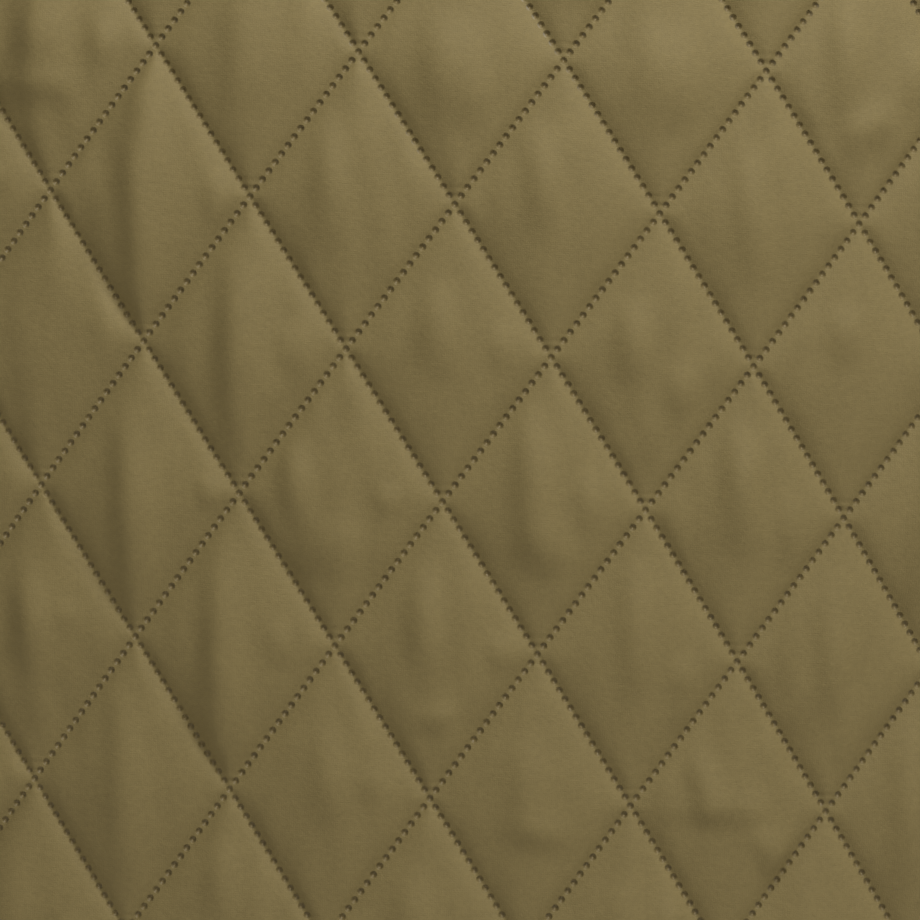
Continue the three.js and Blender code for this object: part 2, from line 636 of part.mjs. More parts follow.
// The slider in its own frame: X across the zip, Y up the zip, Z out of the cloth.
const sliderTop = zip.toothTop + slider.play + slider.plate;
const sliderBottom = zip.toothBottom - slider.play - slider.plate;
const hingeOut = sliderTop + 0.3 + pull.bar / 2 + 0.15;
function sliderGeometry() {
  const [halfWidth, halfLength] = [slider.width / 2, slider.length / 2];
  const bailTop = hingeOut + pull.bar / 2 + 0.35;
  const blocks = [
    [[-halfWidth, -halfLength, sliderTop - slider.plate], [halfWidth, halfLength, sliderTop]],
    [[-halfWidth, -halfLength, sliderBottom], [halfWidth, halfLength, sliderBottom + slider.plate]],
    [[-1.4, halfLength - slider.postLength, sliderBottom + 0.2], [1.4, halfLength, sliderTop - 0.2]],
    [[-slider.bailWidth / 2, -3.2, sliderTop - 0.2], [slider.bailWidth / 2, -2.2, bailTop + 0.1]],
    [[-slider.bailWidth / 2, 2.2, sliderTop - 0.2], [slider.bailWidth / 2, 3.2, bailTop + 0.1]],
    [[-slider.bailWidth / 2, -3.2, bailTop], [slider.bailWidth / 2, 3.2, bailTop + slider.bailBar]],
  ];
  return fromSolid(blocks.map(([low, high]) => toSolid(block(low, high))).reduce((a, b) => a.add(b)));
}
// The pull hangs from a bar under the slider's bail: a plate with a window that the bail stands in.
function pullGeometry() {
  const halfWidth = pull.width / 2;
  const halfWindow = pull.windowWidth / 2;
  const outline = new THREE.Shape();
  outline.moveTo(-halfWidth, pull.bar / 2);
  outline.lineTo(-halfWidth, -pull.length + 3);
  outline.absarc(0, -pull.length + 3, halfWidth, Math.PI, 2 * Math.PI, false);
  outline.lineTo(halfWidth, pull.bar / 2);
  outline.closePath();
  const windowHole = new THREE.Path();
  windowHole.moveTo(-halfWindow, -pull.bar / 2);
  windowHole.lineTo(halfWindow, -pull.bar / 2);
  windowHole.lineTo(halfWindow, -pull.bar / 2 - pull.windowLength);
  windowHole.lineTo(-halfWindow, -pull.bar / 2 - pull.windowLength);
  windowHole.closePath();
  const gripHole = new THREE.Path().absarc(0, -pull.length + 3.4, pull.eye / 2, 0, 2 * Math.PI, true);
  outline.holes.push(windowHole, gripHole);
  const depth = pull.thick;
  const plate = new THREE.ExtrudeGeometry(outline, { depth, bevelEnabled: false, curveSegments: 8 });
  return plate.translate(0, 0, hingeOut - pull.thick / 2);
}

// ---- the vest ----

const vest = new THREE.Group();
function add(name, geometry, material, parent = vest) {
  const mesh = new THREE.Mesh(geometry, material);
  mesh.name = name;
  parent.add(mesh);
  return mesh;
}
// A group that mirrors what it holds to the wearer's right.
const rightSide = new THREE.Group();
rightSide.scale.x = -1;
vest.add(rightSide);
const bothSides = (name, make, material) => {
  add(name + "_left", make(1), material);
  add(name + "_right", make(-1), material, rightSide);
};

add("back", quiltedPanel(backOutline, backs[1], -1), finish.cloth);
bothSides("front", (side) => quiltedPanel(frontOutline, fronts[side], 1), finish.cloth);
add("collar", quiltedPanel(collarOutline, collarSurface, 1), finish.cloth);

bothSides("armhole_binding", (side) => swept(armholeStations(side), bindingSection, true), finish.binding);
add("hem_binding", swept(hemStations(), bindingSection, false), finish.binding);
add("collar_binding", swept(collarTopStations(), bindingSection, false), finish.binding);

const { toothTop, toothBottom, toothWidth } = zip;
const chainStart = zipStart + zip.boxLength + 0.8;
const chainEnd = sliderAt + slider.length / 2 - slider.postLength - cloth.gap;
const stopStart = sliderAt + slider.length / 2 + 0.4;
const stopEnd = stopStart + zip.stopLength;
const boxStart = zipStart + 0.3;
const chain = () => zipStrip(chainStart, chainEnd, 0.15, 0.15 + toothWidth, toothBottom, toothTop);
bothSides("zip_tape", tapeGeometry, finish.tape);
bothSides("zip_chain", chain, finish.metal);
bothSides("zip_stop", () => zipStrip(stopStart, stopEnd, 0.5, 3, toothBottom, toothTop), finish.metal);
const boxEnd = boxStart + zip.boxLength;
add("zip_box", zipStrip(boxStart, boxEnd, -3, 3, toothBottom - 0.4, toothTop + 0.4), finish.metal);

// The slider and its pull stand on the zip's line, turned to the collar's lean.
const sliderSeat = new THREE.Group();
const seatLow = onZip(sliderAt - 1)(0, 0);
const seatHigh = onZip(sliderAt + 1)(0, 0);
sliderSeat.position.copy(onZip(sliderAt)(0, 0));
sliderSeat.rotation.x = Math.atan2(seatHigh.z - seatLow.z, seatHigh.y - seatLow.y);
vest.add(sliderSeat);
add("zip_slider", sliderGeometry(), finish.metal, sliderSeat);
add("zip_pull", pullGeometry(), finish.metal, sliderSeat);

export default vest;
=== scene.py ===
# The looks of the quilted vest: fine quilted panels, bindings, stitching and the zip, around the solids.
import math
import bmesh
import bpy
import numpy as np
from mathutils import Matrix, Vector


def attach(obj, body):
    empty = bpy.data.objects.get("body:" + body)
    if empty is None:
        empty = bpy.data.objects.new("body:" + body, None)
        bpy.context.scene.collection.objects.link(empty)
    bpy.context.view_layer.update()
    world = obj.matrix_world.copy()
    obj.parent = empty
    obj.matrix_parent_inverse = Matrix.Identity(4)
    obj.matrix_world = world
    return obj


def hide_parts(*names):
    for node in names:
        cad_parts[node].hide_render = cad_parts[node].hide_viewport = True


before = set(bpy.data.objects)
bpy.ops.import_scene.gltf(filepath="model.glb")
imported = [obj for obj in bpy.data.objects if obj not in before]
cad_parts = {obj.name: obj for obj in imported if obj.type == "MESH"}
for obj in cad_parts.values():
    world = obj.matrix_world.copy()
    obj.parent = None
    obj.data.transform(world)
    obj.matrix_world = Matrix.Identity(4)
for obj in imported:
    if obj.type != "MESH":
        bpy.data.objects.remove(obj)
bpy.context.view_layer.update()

print("vest: the frame is loaded")
scene = bpy.context.scene
mm = 0.001
pi = math.pi
mirrorX, inMiddle = np.array([-1, 1, 1]), np.array([0, 1, 1])

# the form of the torso, in millimetres, as the solids have it
torso = {"halfWidth": 207, "chestZ": -265, "hemZ": -672, "waist": 0.028, "flare": 0.022}
shoulder = {"neckX": 76, "tipX": 197, "slope": 0.4, "crown": 60, "seamY": 6, "spread": 0.4}
halves = {
    "front": {"facing": -1, "depth": 132, "sideRound": 100, "shoulderRound": 58, "neckUp": 203},
    "back": {"facing": 1, "depth": 114, "sideRound": 99, "shoulderRound": 52, "neckUp": 256},
}
armhole = {"cutIn": 22, "highest": 0.42, "foot": 14}
collar = {
    "front": 60, "side": 50, "back": 56,
    "frontLean": 0.5, "sideLean": 0.1, "backLean": 0.05,
    "bulge": 1.2,
}
hem = torso["hemZ"] - torso["chestZ"]

cloth = {
    "wall": 1.5,                         # pressed flat at a quilting line
    "rim": 0.35,                         # at a cut edge
    "seam": -0.03, "collarLap": -0.06,   # between the edges at a seam, below 0 where they lap
    "band": 10, "tapeBand": 8.5,         # kept flat under a binding and over the zip's tape
    "opening": 7,                        # from the middle to each front edge
}

# half, across, up, lean, length, width, lift: the large folds of the solids
largeFolds = [
    ("front", 166, -36, 50, 150, 19, -3.4),
    ("front", 146, -84, 46, 160, 21, 3.2),
    ("front", 116, 104, -22, 170, 20, -2.8),
    ("front", 66, -407, -4, 400, 30, 4.2),
    ("front", 124, -407, 3, 340, 28, -3.8),
    ("front", 182, -407, 5, 470, 32, 5),
    ("front", -174, -52, -44, 140, 20, -3.2),
    ("front", -128, -72, -52, 150, 22, 2.8),
    ("front", -112, 92, 26, 160, 20, -2.6),
    ("front", -52, -407, 2, 330, 28, -3.4),
    ("front", -104, -407, -3, 440, 31, 4.8),
    ("front", -168, -407, -6, 360, 28, -3.6),
    ("back", 178, -50, 46, 140, 19, -3.4),
    ("back", 160, 92, -12, 150, 20, -2.6),
    ("back", 132, -407, 4, 350, 30, 4.6),
    ("back", 194, -407, 3, 420, 28, -3.8),
    ("back", 40, -407, -2, 250, 30, -3.4),
    ("back", -172, -42, -48, 150, 20, -3.4),
    ("back", -156, 84, 14, 160, 20, -2.8),
    ("back", -88, -407, -3, 290, 30, 4),
    ("back", -146, -407, -2, 390, 29, -4),
    ("back", -202, -407, -5, 430, 30, 4.6),
]
# smaller creases of the same kind, which only show here
smallFolds = [
    ("front", 178, -8, 58, 84, 7, -1.5),
    ("front", 170, -62, 44, 96, 8, 1.3),
    ("front", 152, 40, 24, 80, 7, -1.2),
    ("front", 96, 150, -30, 96, 8, -1.1),
    ("front", 118, -180, 12, 120, 9, 1.2),
    ("front", 188, -240, 8, 130, 9, -1.6),
    ("front", -182, -14, -55, 90, 7, -1.5),
    ("front", -150, -30, -47, 100, 8, 1.3),
    ("front", -158, 46, -22, 84, 7, -1.2),
    ("front", -92, 140, 33, 90, 8, -1.1),
    ("front", -132, -200, -14, 130, 9, 1.3),
    ("front", -190, -262, -6, 140, 9, -1.5),
    ("back", 186, -16, 52, 90, 7, -1.5),
    ("back", 168, -84, 40, 96, 8, 1.2),
    ("back", 150, 150, -16, 90, 8, -1.2),
    ("back", 184, -250, 6, 140, 9, 1.5),
    ("back", -184, -14, -54, 96, 7, -1.5),
    ("back", -160, -90, -42, 90, 8, 1.2),
    ("back", -140, 158, 18, 84, 8, -1.2),
    ("back", -188, -226, -7, 150, 9, -1.6),
]


# 3 t^2 - 2 t^3 on 0 to 1: a step with soft ends, and the same between two values.
def ease(t):
    t = np.clip(t, 0, 1)
    return t * t * (3 - 2 * t)


def between(low, high, v):
    return ease((v - low) / (high - low))


# Vectors at length 1.
def unit(v):
    return v / np.linalg.norm(v, axis=-1, keepdims=True)


# The distance walked along a row of points, and the points at given distances along it.
def walkedAlong(points):
    return np.concatenate([[0], np.cumsum(np.linalg.norm(np.diff(points, axis=0), axis=-1))])


def pointsAt(at, walked, points):
    return np.stack([np.interp(at, walked, column) for column in points.T], axis=-1)


# Places made for the left, on the side asked for.
def onSide(side, places):
    return places if side > 0 else places * mirrorX


# A sine or cosine made squarer: its size is raised to a power below 1 and its sign is kept.
def squarer(wave, power):
    return np.sign(wave) * np.abs(wave) ** power


# A quarter turn of two arcs that touch, a wide one and then a tight one. At a length s along an arc of
# radius r, the run is r sin(s/r) and the rise is r (1 - cos(s/r)).
def alongArcs(run, rise, tight, s):
    turn = 2 * np.arctan((rise - tight) / (run - tight))
    wide = tight + (run - tight) / np.sin(turn)
    first, second = s / wide, turn + (s - wide * turn) / tight
    isFirst = s < wide * turn
    runs = np.where(isFirst, wide * np.sin(first),
                    wide * np.sin(turn) + tight * (np.sin(second) - np.sin(turn)))
    rises = np.where(isFirst, wide * (1 - np.cos(first)),
                     wide * (1 - np.cos(turn)) + tight * (np.cos(turn) - np.cos(second)))
    return runs, rises


# The whole length of those two arcs.
def arcsLength(run, rise, tight):
    turn = 2 * np.arctan((rise - tight) / (run - tight))
    return (tight + (run - tight) / np.sin(turn)) * turn + tight * (pi / 2 - turn)


for half in halves.values():
    half["ring"] = float(arcsLength(torso["halfWidth"], half["depth"], half["sideRound"]))


# The shoulder line, a hyperbola: height = -slope (sqrt(x^2 + crown^2) - the same at the neck).
def shoulderHeight(x):
    crown = shoulder["crown"]
    return -shoulder["slope"] * (np.hypot(x, crown) - math.hypot(shoulder["neckX"], crown))


# Where a column of cloth stands on the chest line, how high it climbs and how far in it bends.
def column(half, reach):
    footX, footIn = alongArcs(torso["halfWidth"], half["depth"], half["sideRound"], reach)
    out = half["depth"] - footIn
    topX = np.minimum(reach, shoulder["tipX"]) + shoulder["spread"] * np.maximum(0, reach - shoulder["tipX"])
    seamY = shoulder["seamY"] * (1 - between(shoulder["tipX"], half["ring"], reach))
    height = shoulderHeight(topX) - torso["chestZ"]
    span = np.maximum(2, out - half["facing"] * seamY)
    return footX, out, topX, height, span, np.minimum(half["shoulderRound"], 0.75 * span)


# How far up the cloth the shoulder seam lies.
def seamUp(half, reach):
    _, _, _, height, span, tight = column(half, np.asarray(reach, float))
    return arcsLength(height, span, tight)


# The form without folds: across runs along the chest line, up runs along the cloth from it. Below the line
# the ring keeps its shape and changes its girth, above it each column bends over the shoulder on two arcs.
def bareForm(name, across, up):
    half = halves[name]
    side = np.where(across < 0, -1, 1)
    footX, out, topX, height, span, tight = column(half, np.abs(across))
    down = up / hem
    girth = 1 - torso["waist"] * np.sin(pi * down) ** 2 + torso["flare"] * down * down
    climb, inward = alongArcs(height, span, tight, np.maximum(up, 0))
    isLow = up <= 0
    x = np.where(isLow, footX * girth, footX + (topX - footX) * ease(climb / height))
    y = np.where(isLow, out * girth, out - inward)
    z = torso["chestZ"] + np.where(isLow, up, climb)
    return np.stack([side * x, half["facing"] * y, z], axis=-1)


# The outward normal of a surface, from the differences half a millimetre to each side.
def normalOf(surface, a, b, turn):
    alongA = surface(a + 0.5, b) - surface(a - 0.5, b)
    alongB = surface(a, b + 0.5) - surface(a, b - 0.5)
    return unit(np.cross(alongA, alongB) * turn)


# The folds' lift: height x cos^2 along it x exp(-(distance aside / width)^2), none at the side seams.
def foldLift(name, across, up):
    lift = np.zeros(np.shape(across))
    for half, foldAcross, foldUp, degrees, length, width, height in largeFolds + smallFolds:
        if half != name:
            continue
        lean = math.radians(degrees)
        dx, dy = across - foldAcross, up - foldUp
        along = dx * math.sin(lean) + dy * math.cos(lean)
        aside = dx * math.cos(lean) - dy * math.sin(lean)
        window = np.where(np.abs(along) < length / 2, np.cos(pi * along / length) ** 2, 0)
        lift = lift + height * window * np.exp(-((aside / width) ** 2))
    reach, sideSeam = np.abs(across), halves[name]["ring"]
    if name == "front":
        lift = lift * between(8, 40, reach)
    return lift * (1 - between(sideSeam - 34, sideSeam - 6, reach))


# The worn surface of a half: side is 1 for the wearer's left, -1 for the right, mirrored to the left.
def wornSurface(name, side=1):
    turn = -halves[name]["facing"]

    def bare(across, up):
        return bareForm(name, across, up)

    def surface(across, up):
        lift = foldLift(name, side * across, up)
        return bare(across, up) + normalOf(bare, across, up, turn) * lift[..., None]

    return surface


# the collar's form

# The neckline on the flat cloth, a quarter ellipse: across = neck sin(angle), up = top + depth cos(angle).
def neckline(half, angle):
    top = float(seamUp(half, shoulder["neckX"]))
    return shoulder["neckX"] * np.sin(angle), top + (half["neckUp"] - top) * np.cos(angle)


# Along the neckline: the point, the way into the cloth, the way that the collar rises and its height there.
# Lean and height go from the side's to the middle's by cos^2 of the angle.
def neckStations(name, angles, middleLean, middleHeight, surface):
    half = halves[name]
    across, up = neckline(half, angles)
    ahead, behind = neckline(half, angles + 0.01), neckline(half, angles - 0.01)
    along = unit(np.stack([ahead[0] - behind[0], ahead[1] - behind[1]], axis=-1))
    point = surface(across, up)
    inside = unit(surface(across + along[:, 1], up - along[:, 0]) - point)
    middle = np.cos(angles) ** 2
    inward = unit(np.stack([-np.sin(angles) ** 2, -half["facing"] * np.cos(angles), 0 * angles], axis=-1))
    lean = collar["sideLean"] + (middleLean - collar["sideLean"]) * middle
    rise = unit(np.array([0, 0, 1]) + inward * lean[:, None])
    return point, inside, rise, collar["side"] + (middleHeight - collar["side"]) * middle


# The collar's foot, in by the panel's rim where the collar turns back over it, from the middle of the front
# to the middle of the back: the run along it, its points, its rise and its height.
def collarForm(stations=160):
    start = math.asin(cloth["opening"] / shoulder["neckX"])
    frontAngles = np.concatenate([[0], np.linspace(start, pi / 2, stations)])
    backAngles = np.linspace(pi / 2, 0, stations)[1:]
    front = neckStations("front", frontAngles, collar["frontLean"], collar["front"], wornSurface("front"))
    back = neckStations("back", backAngles, collar["backLean"], collar["back"], wornSurface("back"))
    point, inside, rise, height = (np.concatenate(pair) for pair in zip(front, back))
    outward = unit(np.cross(np.gradient(point, axis=0), rise))
    apart = cloth["collarLap"] + cloth["rim"] * np.maximum(0, np.sum(outward * inside, axis=-1))
    base = point - inside * apart[:, None]
    return walkedAlong(base), base, rise, height


neckRun, neckBase, neckRise, neckHeight = collarForm()
halfNeck = float(neckRun[-1])


# The same place on the collar's own first half.
def ownHalf(run):
    return np.where(run <= halfNeck, run, 2 * halfNeck - run)


# The collar's height along its foot.
def collarHeight(run):
    return np.interp(ownHalf(run), neckRun, neckHeight)


# The collar: foot + rise x up, bulged at the sides by sin of the height. run is from the middle of the front.
def collarSurface(run, up):
    own = ownHalf(run)
    base = pointsAt(own, neckRun, neckBase)
    base = base + np.where(own < 0, own, 0)[..., None] * np.array([1, 0, 0])
    rise = unit(pointsAt(own, neckRun, neckRise))
    point = base + rise * up[..., None]
    bulge = collar["bulge"] * np.sin(pi * np.clip(up / collarHeight(run), 0, 1))
    x = point[..., 0] + bulge * np.clip((point[..., 0] - 10) / 40, 0, 1)
    return np.stack([np.where(run <= halfNeck, x, -x), point[..., 1], point[..., 2]], axis=-1)


# outlines of the pattern pieces: points [across, up, trim], anticlockwise, with trim the flat band there

outlineStep = 4


# Even places from low to high.
def spread(low, high):
    return np.linspace(low, high, max(1, round(abs(high - low) / outlineStep)) + 1)


# One edge of an outline without its last point, which the next edge begins with.
def edge(across, up, trim):
    across, up = np.broadcast_arrays(np.asarray(across, float), np.asarray(up, float))
    return np.stack([across, up, np.full(len(across), float(trim))], axis=-1)[:-1]


# The armhole, a Bezier curve of four corners from the side seam to the shoulder's tip, cut into even steps.
def armCurve(half, count):
    tipX, tip = shoulder["tipX"], float(seamUp(half, shoulder["tipX"]))
    corners = np.array([[half["ring"], 0], [tipX + armhole["foot"], 0],
                        [tipX - armhole["cutIn"], armhole["highest"] * tip], [tipX, tip]])
    t = np.linspace(0, 1, 400)[:, None]
    fine = (corners[0] * (1 - t) ** 3 + corners[1] * 3 * t * (1 - t) ** 2
            + corners[2] * 3 * t * t * (1 - t) + corners[3] * t ** 3)
    walked = walkedAlong(fine)
    at = np.linspace(0, walked[-1], count or max(2, round(walked[-1] / outlineStep)))
    return pointsAt(at, walked, fine)


# The right side of a panel, from the hem's inner end round to the neckline's.
def halfOutline(name, inner):
    half, seam = halves[name], cloth["seam"]
    side = half["ring"] - seam
    arm = armCurve(half, 0)
    arm[0, 0], arm[-1, 1] = side, arm[-1, 1] - seam
    top = spread(shoulder["tipX"], shoulder["neckX"])
    angles = np.linspace(pi / 2, math.asin(inner / shoulder["neckX"]), 44)
    neckAcross, neckUp = neckline(half, angles)
    neckUp[0] -= seam
    hemline, sideline = spread(inner, side), spread(hem, 0)
    return np.concatenate([
        edge(hemline, hem, cloth["band"]),
        edge(side, sideline, 0),
        edge(arm[:, 0], arm[:, 1], cloth["band"]),
        edge(top, seamUp(half, top) - seam, 0),
        edge(neckAcross, neckUp, 0),
    ])


# The left front, closed by its opening edge.
def frontOutline():
    opening, neckUp = cloth["opening"], halves["front"]["neckUp"]
    left = edge(opening, spread(neckUp, hem), cloth["tapeBand"])
    return np.concatenate([halfOutline("front", opening), left])


# The back: its right side and the same mirrored.
def backOutline():
    right = halfOutline("back", 0)
    left = right[1:] * mirrorX
    left[:, 2] = right[:-1, 2]
    last = np.array([[0, halves["back"]["neckUp"], 0]])
    return np.concatenate([right, last, left[::-1]])


# The collar laid flat: its foot, an end, its top and the other end.
def collarOutline():
    low, high = cloth["opening"], 2 * halfNeck - cloth["opening"]
    run = spread(low, high)
    endHeight = float(collarHeight(np.array(low)))
    return np.concatenate([
        edge(run, 0, 0),
        edge(high, spread(0, endHeight), cloth["tapeBand"]),
        edge(run[::-1], collarHeight(run[::-1]), cloth["band"]),
        edge(low, spread(endHeight, 0), cloth["tapeBand"]),
    ])


# Which points lie inside: those with an odd number of edges to their right.
def insideOutline(outline, x, y):
    inside = np.zeros(x.shape, bool)
    for (x1, y1, _), (x2, y2, _) in zip(outline, np.roll(outline, -1, axis=0)):
        if y1 != y2:
            inside ^= ((y1 > y) != (y2 > y)) & (x < x1 + (y - y1) / (y2 - y1) * (x2 - x1))
    return inside


# The distance from the flat bands, and the nearest point of the outline, for many points at once.
def roomInside(outline, x, y):
    room, nearest = np.full(x.shape, 1e9), np.full(x.shape, 1e9)
    spotX, spotY = x.copy(), y.copy()
    for (x1, y1, trim), (x2, y2, _) in zip(outline, np.roll(outline, -1, axis=0)):
        dx, dy = x2 - x1, y2 - y1
        t = np.clip(((x - x1) * dx + (y - y1) * dy) / (dx * dx + dy * dy), 0, 1)
        px, py = x1 + t * dx, y1 + t * dy
        distance = np.hypot(x - px, y - py)
        room = np.minimum(room, distance - trim)
        isNearer = distance < nearest
        nearest = np.where(isNearer, distance, nearest)
        spotX, spotY = np.where(isNearer, px, spotX), np.where(isNearer, py, spotY)
    return room, nearest, spotX, spotY


# the quilting

quilt = {
    "width": 50, "height": 72.5,
    "puff": 2.75, "ridge": 2,            # the dome of the filling, with sharper ridges for a higher power
    "groove": 0.3, "grooveWidth": 1.8,   # the press of the weld beside each line
    "held": 2.6,                         # how far from a line its weld still holds the creases down
    "inside": 0.9,                       # how far the filling shows inside
    "fade": 8, "seamFade": 3.5,          # where the filling begins, and how wide an edge is rounded
    "crowd": 0.55,                       # how much the mesh crowds beside the lines
}
cockle = {
    "height": 0.05,
    # across, up, bend and start of each wave, in radians and millimetres
    "waves": [(0.47, 0.07, 1.5, 0.4), (0.62, -0.11, 1.1, 2.1), (0.38, 0.15, 2.0, 4.4)],
}
lineGap = 1 / math.hypot(1 / quilt["width"], 1 / quilt["height"])
twoSides = math.hypot(quilt["width"], quilt["height"])

# Creases on the back of the vest, by diamond: i steps of half a width to the right of the middle crossing
# and j steps of half a height up. Each is u, v, turn, length, left, right, lift, with u and v from the
# diamond's middle, all as one sees it from behind.
backCreases = {
    (-2, 3): [(-3.8, 0, -2, 39, 4.2, 6, 0.46)],
    (0, 3): [(-2.8, -4, -2, 34, 6.3, 8, 0.86)],
    (2, 3): [(-0.8, -3, -2, 32, 6.3, 8, 0.8)],
    (-3, 2): [(-1.8, -1, -2, 81, 4.2, 6, 0.98), (16.5, -1, -2, 18, 2.5, 4, 0.3)],
    (-1, 2): [(-5.8, 3, -2, 39, 4.2, 5, 0.63)],
    (1, 2): [(-4.3, 6, -2, 35, 4.2, 5, 0.63)],
    (3, 2): [(-3.3, -1, -2, 38, 4.2, 5.5, 0.63)],
    (-4, 1): [(16.2, 5, -2, 26, 3.5, 4, 0.34)],
    (-2, 1): [(-1.8, 0, -2, 62, 4.2, 6, 0.98), (10.5, 0, -2, 15, 2.5, 4, 0.3)],
    (0, 1): [(-2.8, 5, -2, 29, 4.2, 5, 0.63), (12, 2, -2, 15, 2.5, 4, 0.3)],
    (2, 1): [(-6.3, 5, -2, 26, 4.2, 5, 0.63), (5, -6, -2, 16, 3, 5, 0.3)],
    (4, 1): [(-3.8, 9, -2, 18, 3.5, 5, 0.46)],
    (-3, 0): [(-1.8, -3, -2, 60, 4.2, 6, 0.98), (17, 0, -2, 11, 2, 3.5, 0.3)],
    (-1, 0): [(-10.8, 3, -2, 27, 4.2, 5, 0.63), (-3, -12, 8, 20, 6, 7, 0.5), (11, 0, -2, 9, 2, 4, 0.3)],
    (1, 0): [(-3.8, 4, -4, 47, 4.2, 6.5, 0.98), (10, 1, -2, 18, 2.5, 4, 0.3), (0, -10, -22, 20, 5, 6, 0.45)],
    (3, 0): [(-2.8, 6, -2, 40, 4.2, 6, 0.92), (10.5, -3, -2, 21, 2.5, 4, 0.3)],
    (-2, -1): [(-3.3, -4, -2, 70, 4.2, 6, 0.98), (11, 0, -2, 14, 2.5, 4, 0.3)],
    (0, -1): [(-3.3, 7, -2, 34, 4.2, 5, 0.63), (14.5, 0, -2, 12, 2, 3.5, 0.3), (0, -16, 78, 16, 2, 3, 0.4)],
    (2, -1): [(-1.3, 6, -2, 43, 4.2, 5, 0.63), (10, -4, -2, 12, 2.5, 4, 0.25)],
    (4, -1): [(-2.3, 3, -2, 49, 4.2, 5, 0.63)],
    (-3, -2): [(-1.8, -1, -2, 60, 4.2, 5.5, 0.69)],
    (-1, -2): [(-1.8, 5, -2, 31, 4.2, 5, 0.63), (9, 3, -2, 12, 2.5, 4, 0.25)],
    (1, -2): [(-2, 3, -4, 34, 4, 6, 0.62), (2, -7.5, 98, 24, 4, 2.6, 0.4)],
    (3, -2): [(-7.5, 4.5, -16, 22, 2.2, 6, 0.5), (-2, -1.2, 88, 36, 5, 1.3, 0.4),
              (10.5, -11, -31, 20, 2.6, 5, 0.6)],
    (-2, -3): [(-0.8, 12, -2, 29, 4.2, 5, 0.46)],
    (0, -3): [(-3.8, 7, -2, 31, 4.2, 5, 0.52)],
    (2, -3): [(-1.8, 5, -2, 31, 4.2, 5, 0.52), (10, 8, 30, 14, 3, 3, 0.4)],
}
middleCrossing = -72.5   # the back's crossing that the close view is centred on, up from the chest line


# Creases for every diamond of a piece, as an array [i, j, crease, column] with the columns given above.
# Diamonds without any of their own get one long crease left of the middle, a short one right of it and now
# and then one that lies across.
def creaseTable(own, seed, strength, reach=16):
    random = np.random.default_rng(seed)
    size = (2 * reach + 1, 2 * reach + 1)

    def near(middle, by):
        return random.normal(middle, by, size)

    def within(low, high):
        return random.uniform(low, high, size)

    long = [near(-3.3, 2.2), near(2, 4), near(-1, 3), within(28, 64),
            within(3.8, 5), within(4.8, 6.5), within(0.45, 1)]
    short = [near(11, 2), near(0, 3), near(-1, 4), within(9, 22),
             within(2.2, 3), within(3.5, 5), within(0.1, 0.4)]
    lying = [near(0, 5), near(-8, 6), random.choice([82, 90, 60, -35], size), within(14, 34),
             within(2.5, 4), within(3.5, 6), within(0.3, 0.8) * (random.random(size) < 0.24)]
    table = np.moveaxis(np.array([long, short, lying]), (0, 1), (2, 3))
    for (i, j), creases in own.items():
        table[i + reach, j + reach] = 0
        table[i + reach, j + reach, :, 3:6] = 3
        table[i + reach, j + reach, :len(creases)] = creases
    table[..., 6] *= strength
    return table, reach, strength


# The quilting lines' own numbers at a place: s for those that fall to the right, t for those that rise. Then the
# place where two lines cross.
def linesAt(x, y):
    return x / quilt["width"] + y / quilt["height"], x / quilt["width"] - y / quilt["height"]


def crossingOf(s, t):
    return quilt["width"] * (s + t) / 2, quilt["height"] * (s - t) / 2


# How far a quilted piece stands out from its plain wall. On each diamond lies a dome, the smooth minimum of
# two parabolas across it, pressed down beside the lines by exp(-(distance / width)^2). A crease adds its
# height x (1 - (2 along / length)^2)^2 x exp(-(aside / width)^2), and the cockling adds waves of height x
# sin(across x + up y + bend sin y). seen is the sign that turns across into left to right as seen.
def quiltLift(x, y, creases, seen, middle):
    table, reach, strength = creases
    s, t = linesAt(x, y)
    fromS, fromT = (np.maximum(1 - (2 * (line % 1) - 1) ** 2, 1e-4) for line in (s, t))
    dome = (2 / (fromS ** -quilt["ridge"] + fromT ** -quilt["ridge"])) ** (1 / quilt["ridge"])
    nearLine = np.minimum(np.abs(s - np.round(s)), np.abs(t - np.round(t))) * lineGap
    lift = quilt["puff"] * dome + quilt["groove"] * (1 - np.exp(-(nearLine / quilt["grooveWidth"]) ** 2))
    middleX, middleY = crossingOf(np.floor(s) + 0.5, np.floor(t) + 0.5)
    i = np.round(seen * middleX / (quilt["width"] / 2)).astype(int)
    j = np.round((middleY - middle) / (quilt["height"] / 2)).astype(int)
    own = table[np.clip(i, -reach, reach) + reach, np.clip(j, -reach, reach) + reach]
    dx, dy = seen * (x - middleX), y - middleY
    free = 1 - np.exp(-(nearLine / quilt["held"]) ** 2)
    for k in range(own.shape[1]):
        u, v, turn, length, left, right, height = np.moveaxis(own[:, k], -1, 0)
        lean = np.radians(turn)
        along = (dx - u) * np.sin(lean) + (dy - v) * np.cos(lean)
        aside = (dx - u) * np.cos(lean) - (dy - v) * np.sin(lean)
        window = np.clip(1 - (2 * along / length) ** 2, 0, 1) ** 2
        lift = lift + height * window * free * np.exp(-((aside / np.where(aside < 0, left, right)) ** 2))
    slow = np.sin(x * 0.31 + np.sin(y * 0.11)) * np.sin(y * 0.17 + 1.3) + np.sin(x * 0.53 + y * 0.09 + 2)
    patch = 0.6 + 0.4 * np.sin(x * 0.071 + 1.3 * np.sin(y * 0.05 + 1))
    waves = sum(np.sin(x * across + y * up + bend * np.sin(y * 0.09 + start) + start)
                for across, up, bend, start in cockle["waves"])
    return lift + cockle["height"] * (slow + strength * patch * waves) * free


# The mesh's cuts across the quilting, in diamonds, crowded beside the lines: f - crowd sin(2 pi f) / 2 pi.
def latticeCuts(low, high, parts):
    f = np.arange(parts) / parts
    f = f - quilt["crowd"] * np.sin(2 * pi * f) / (2 * pi)
    cells = np.arange(math.floor(low), math.ceil(high))
    return np.append((cells[:, None] + f).ravel(), cells[-1] + 1)


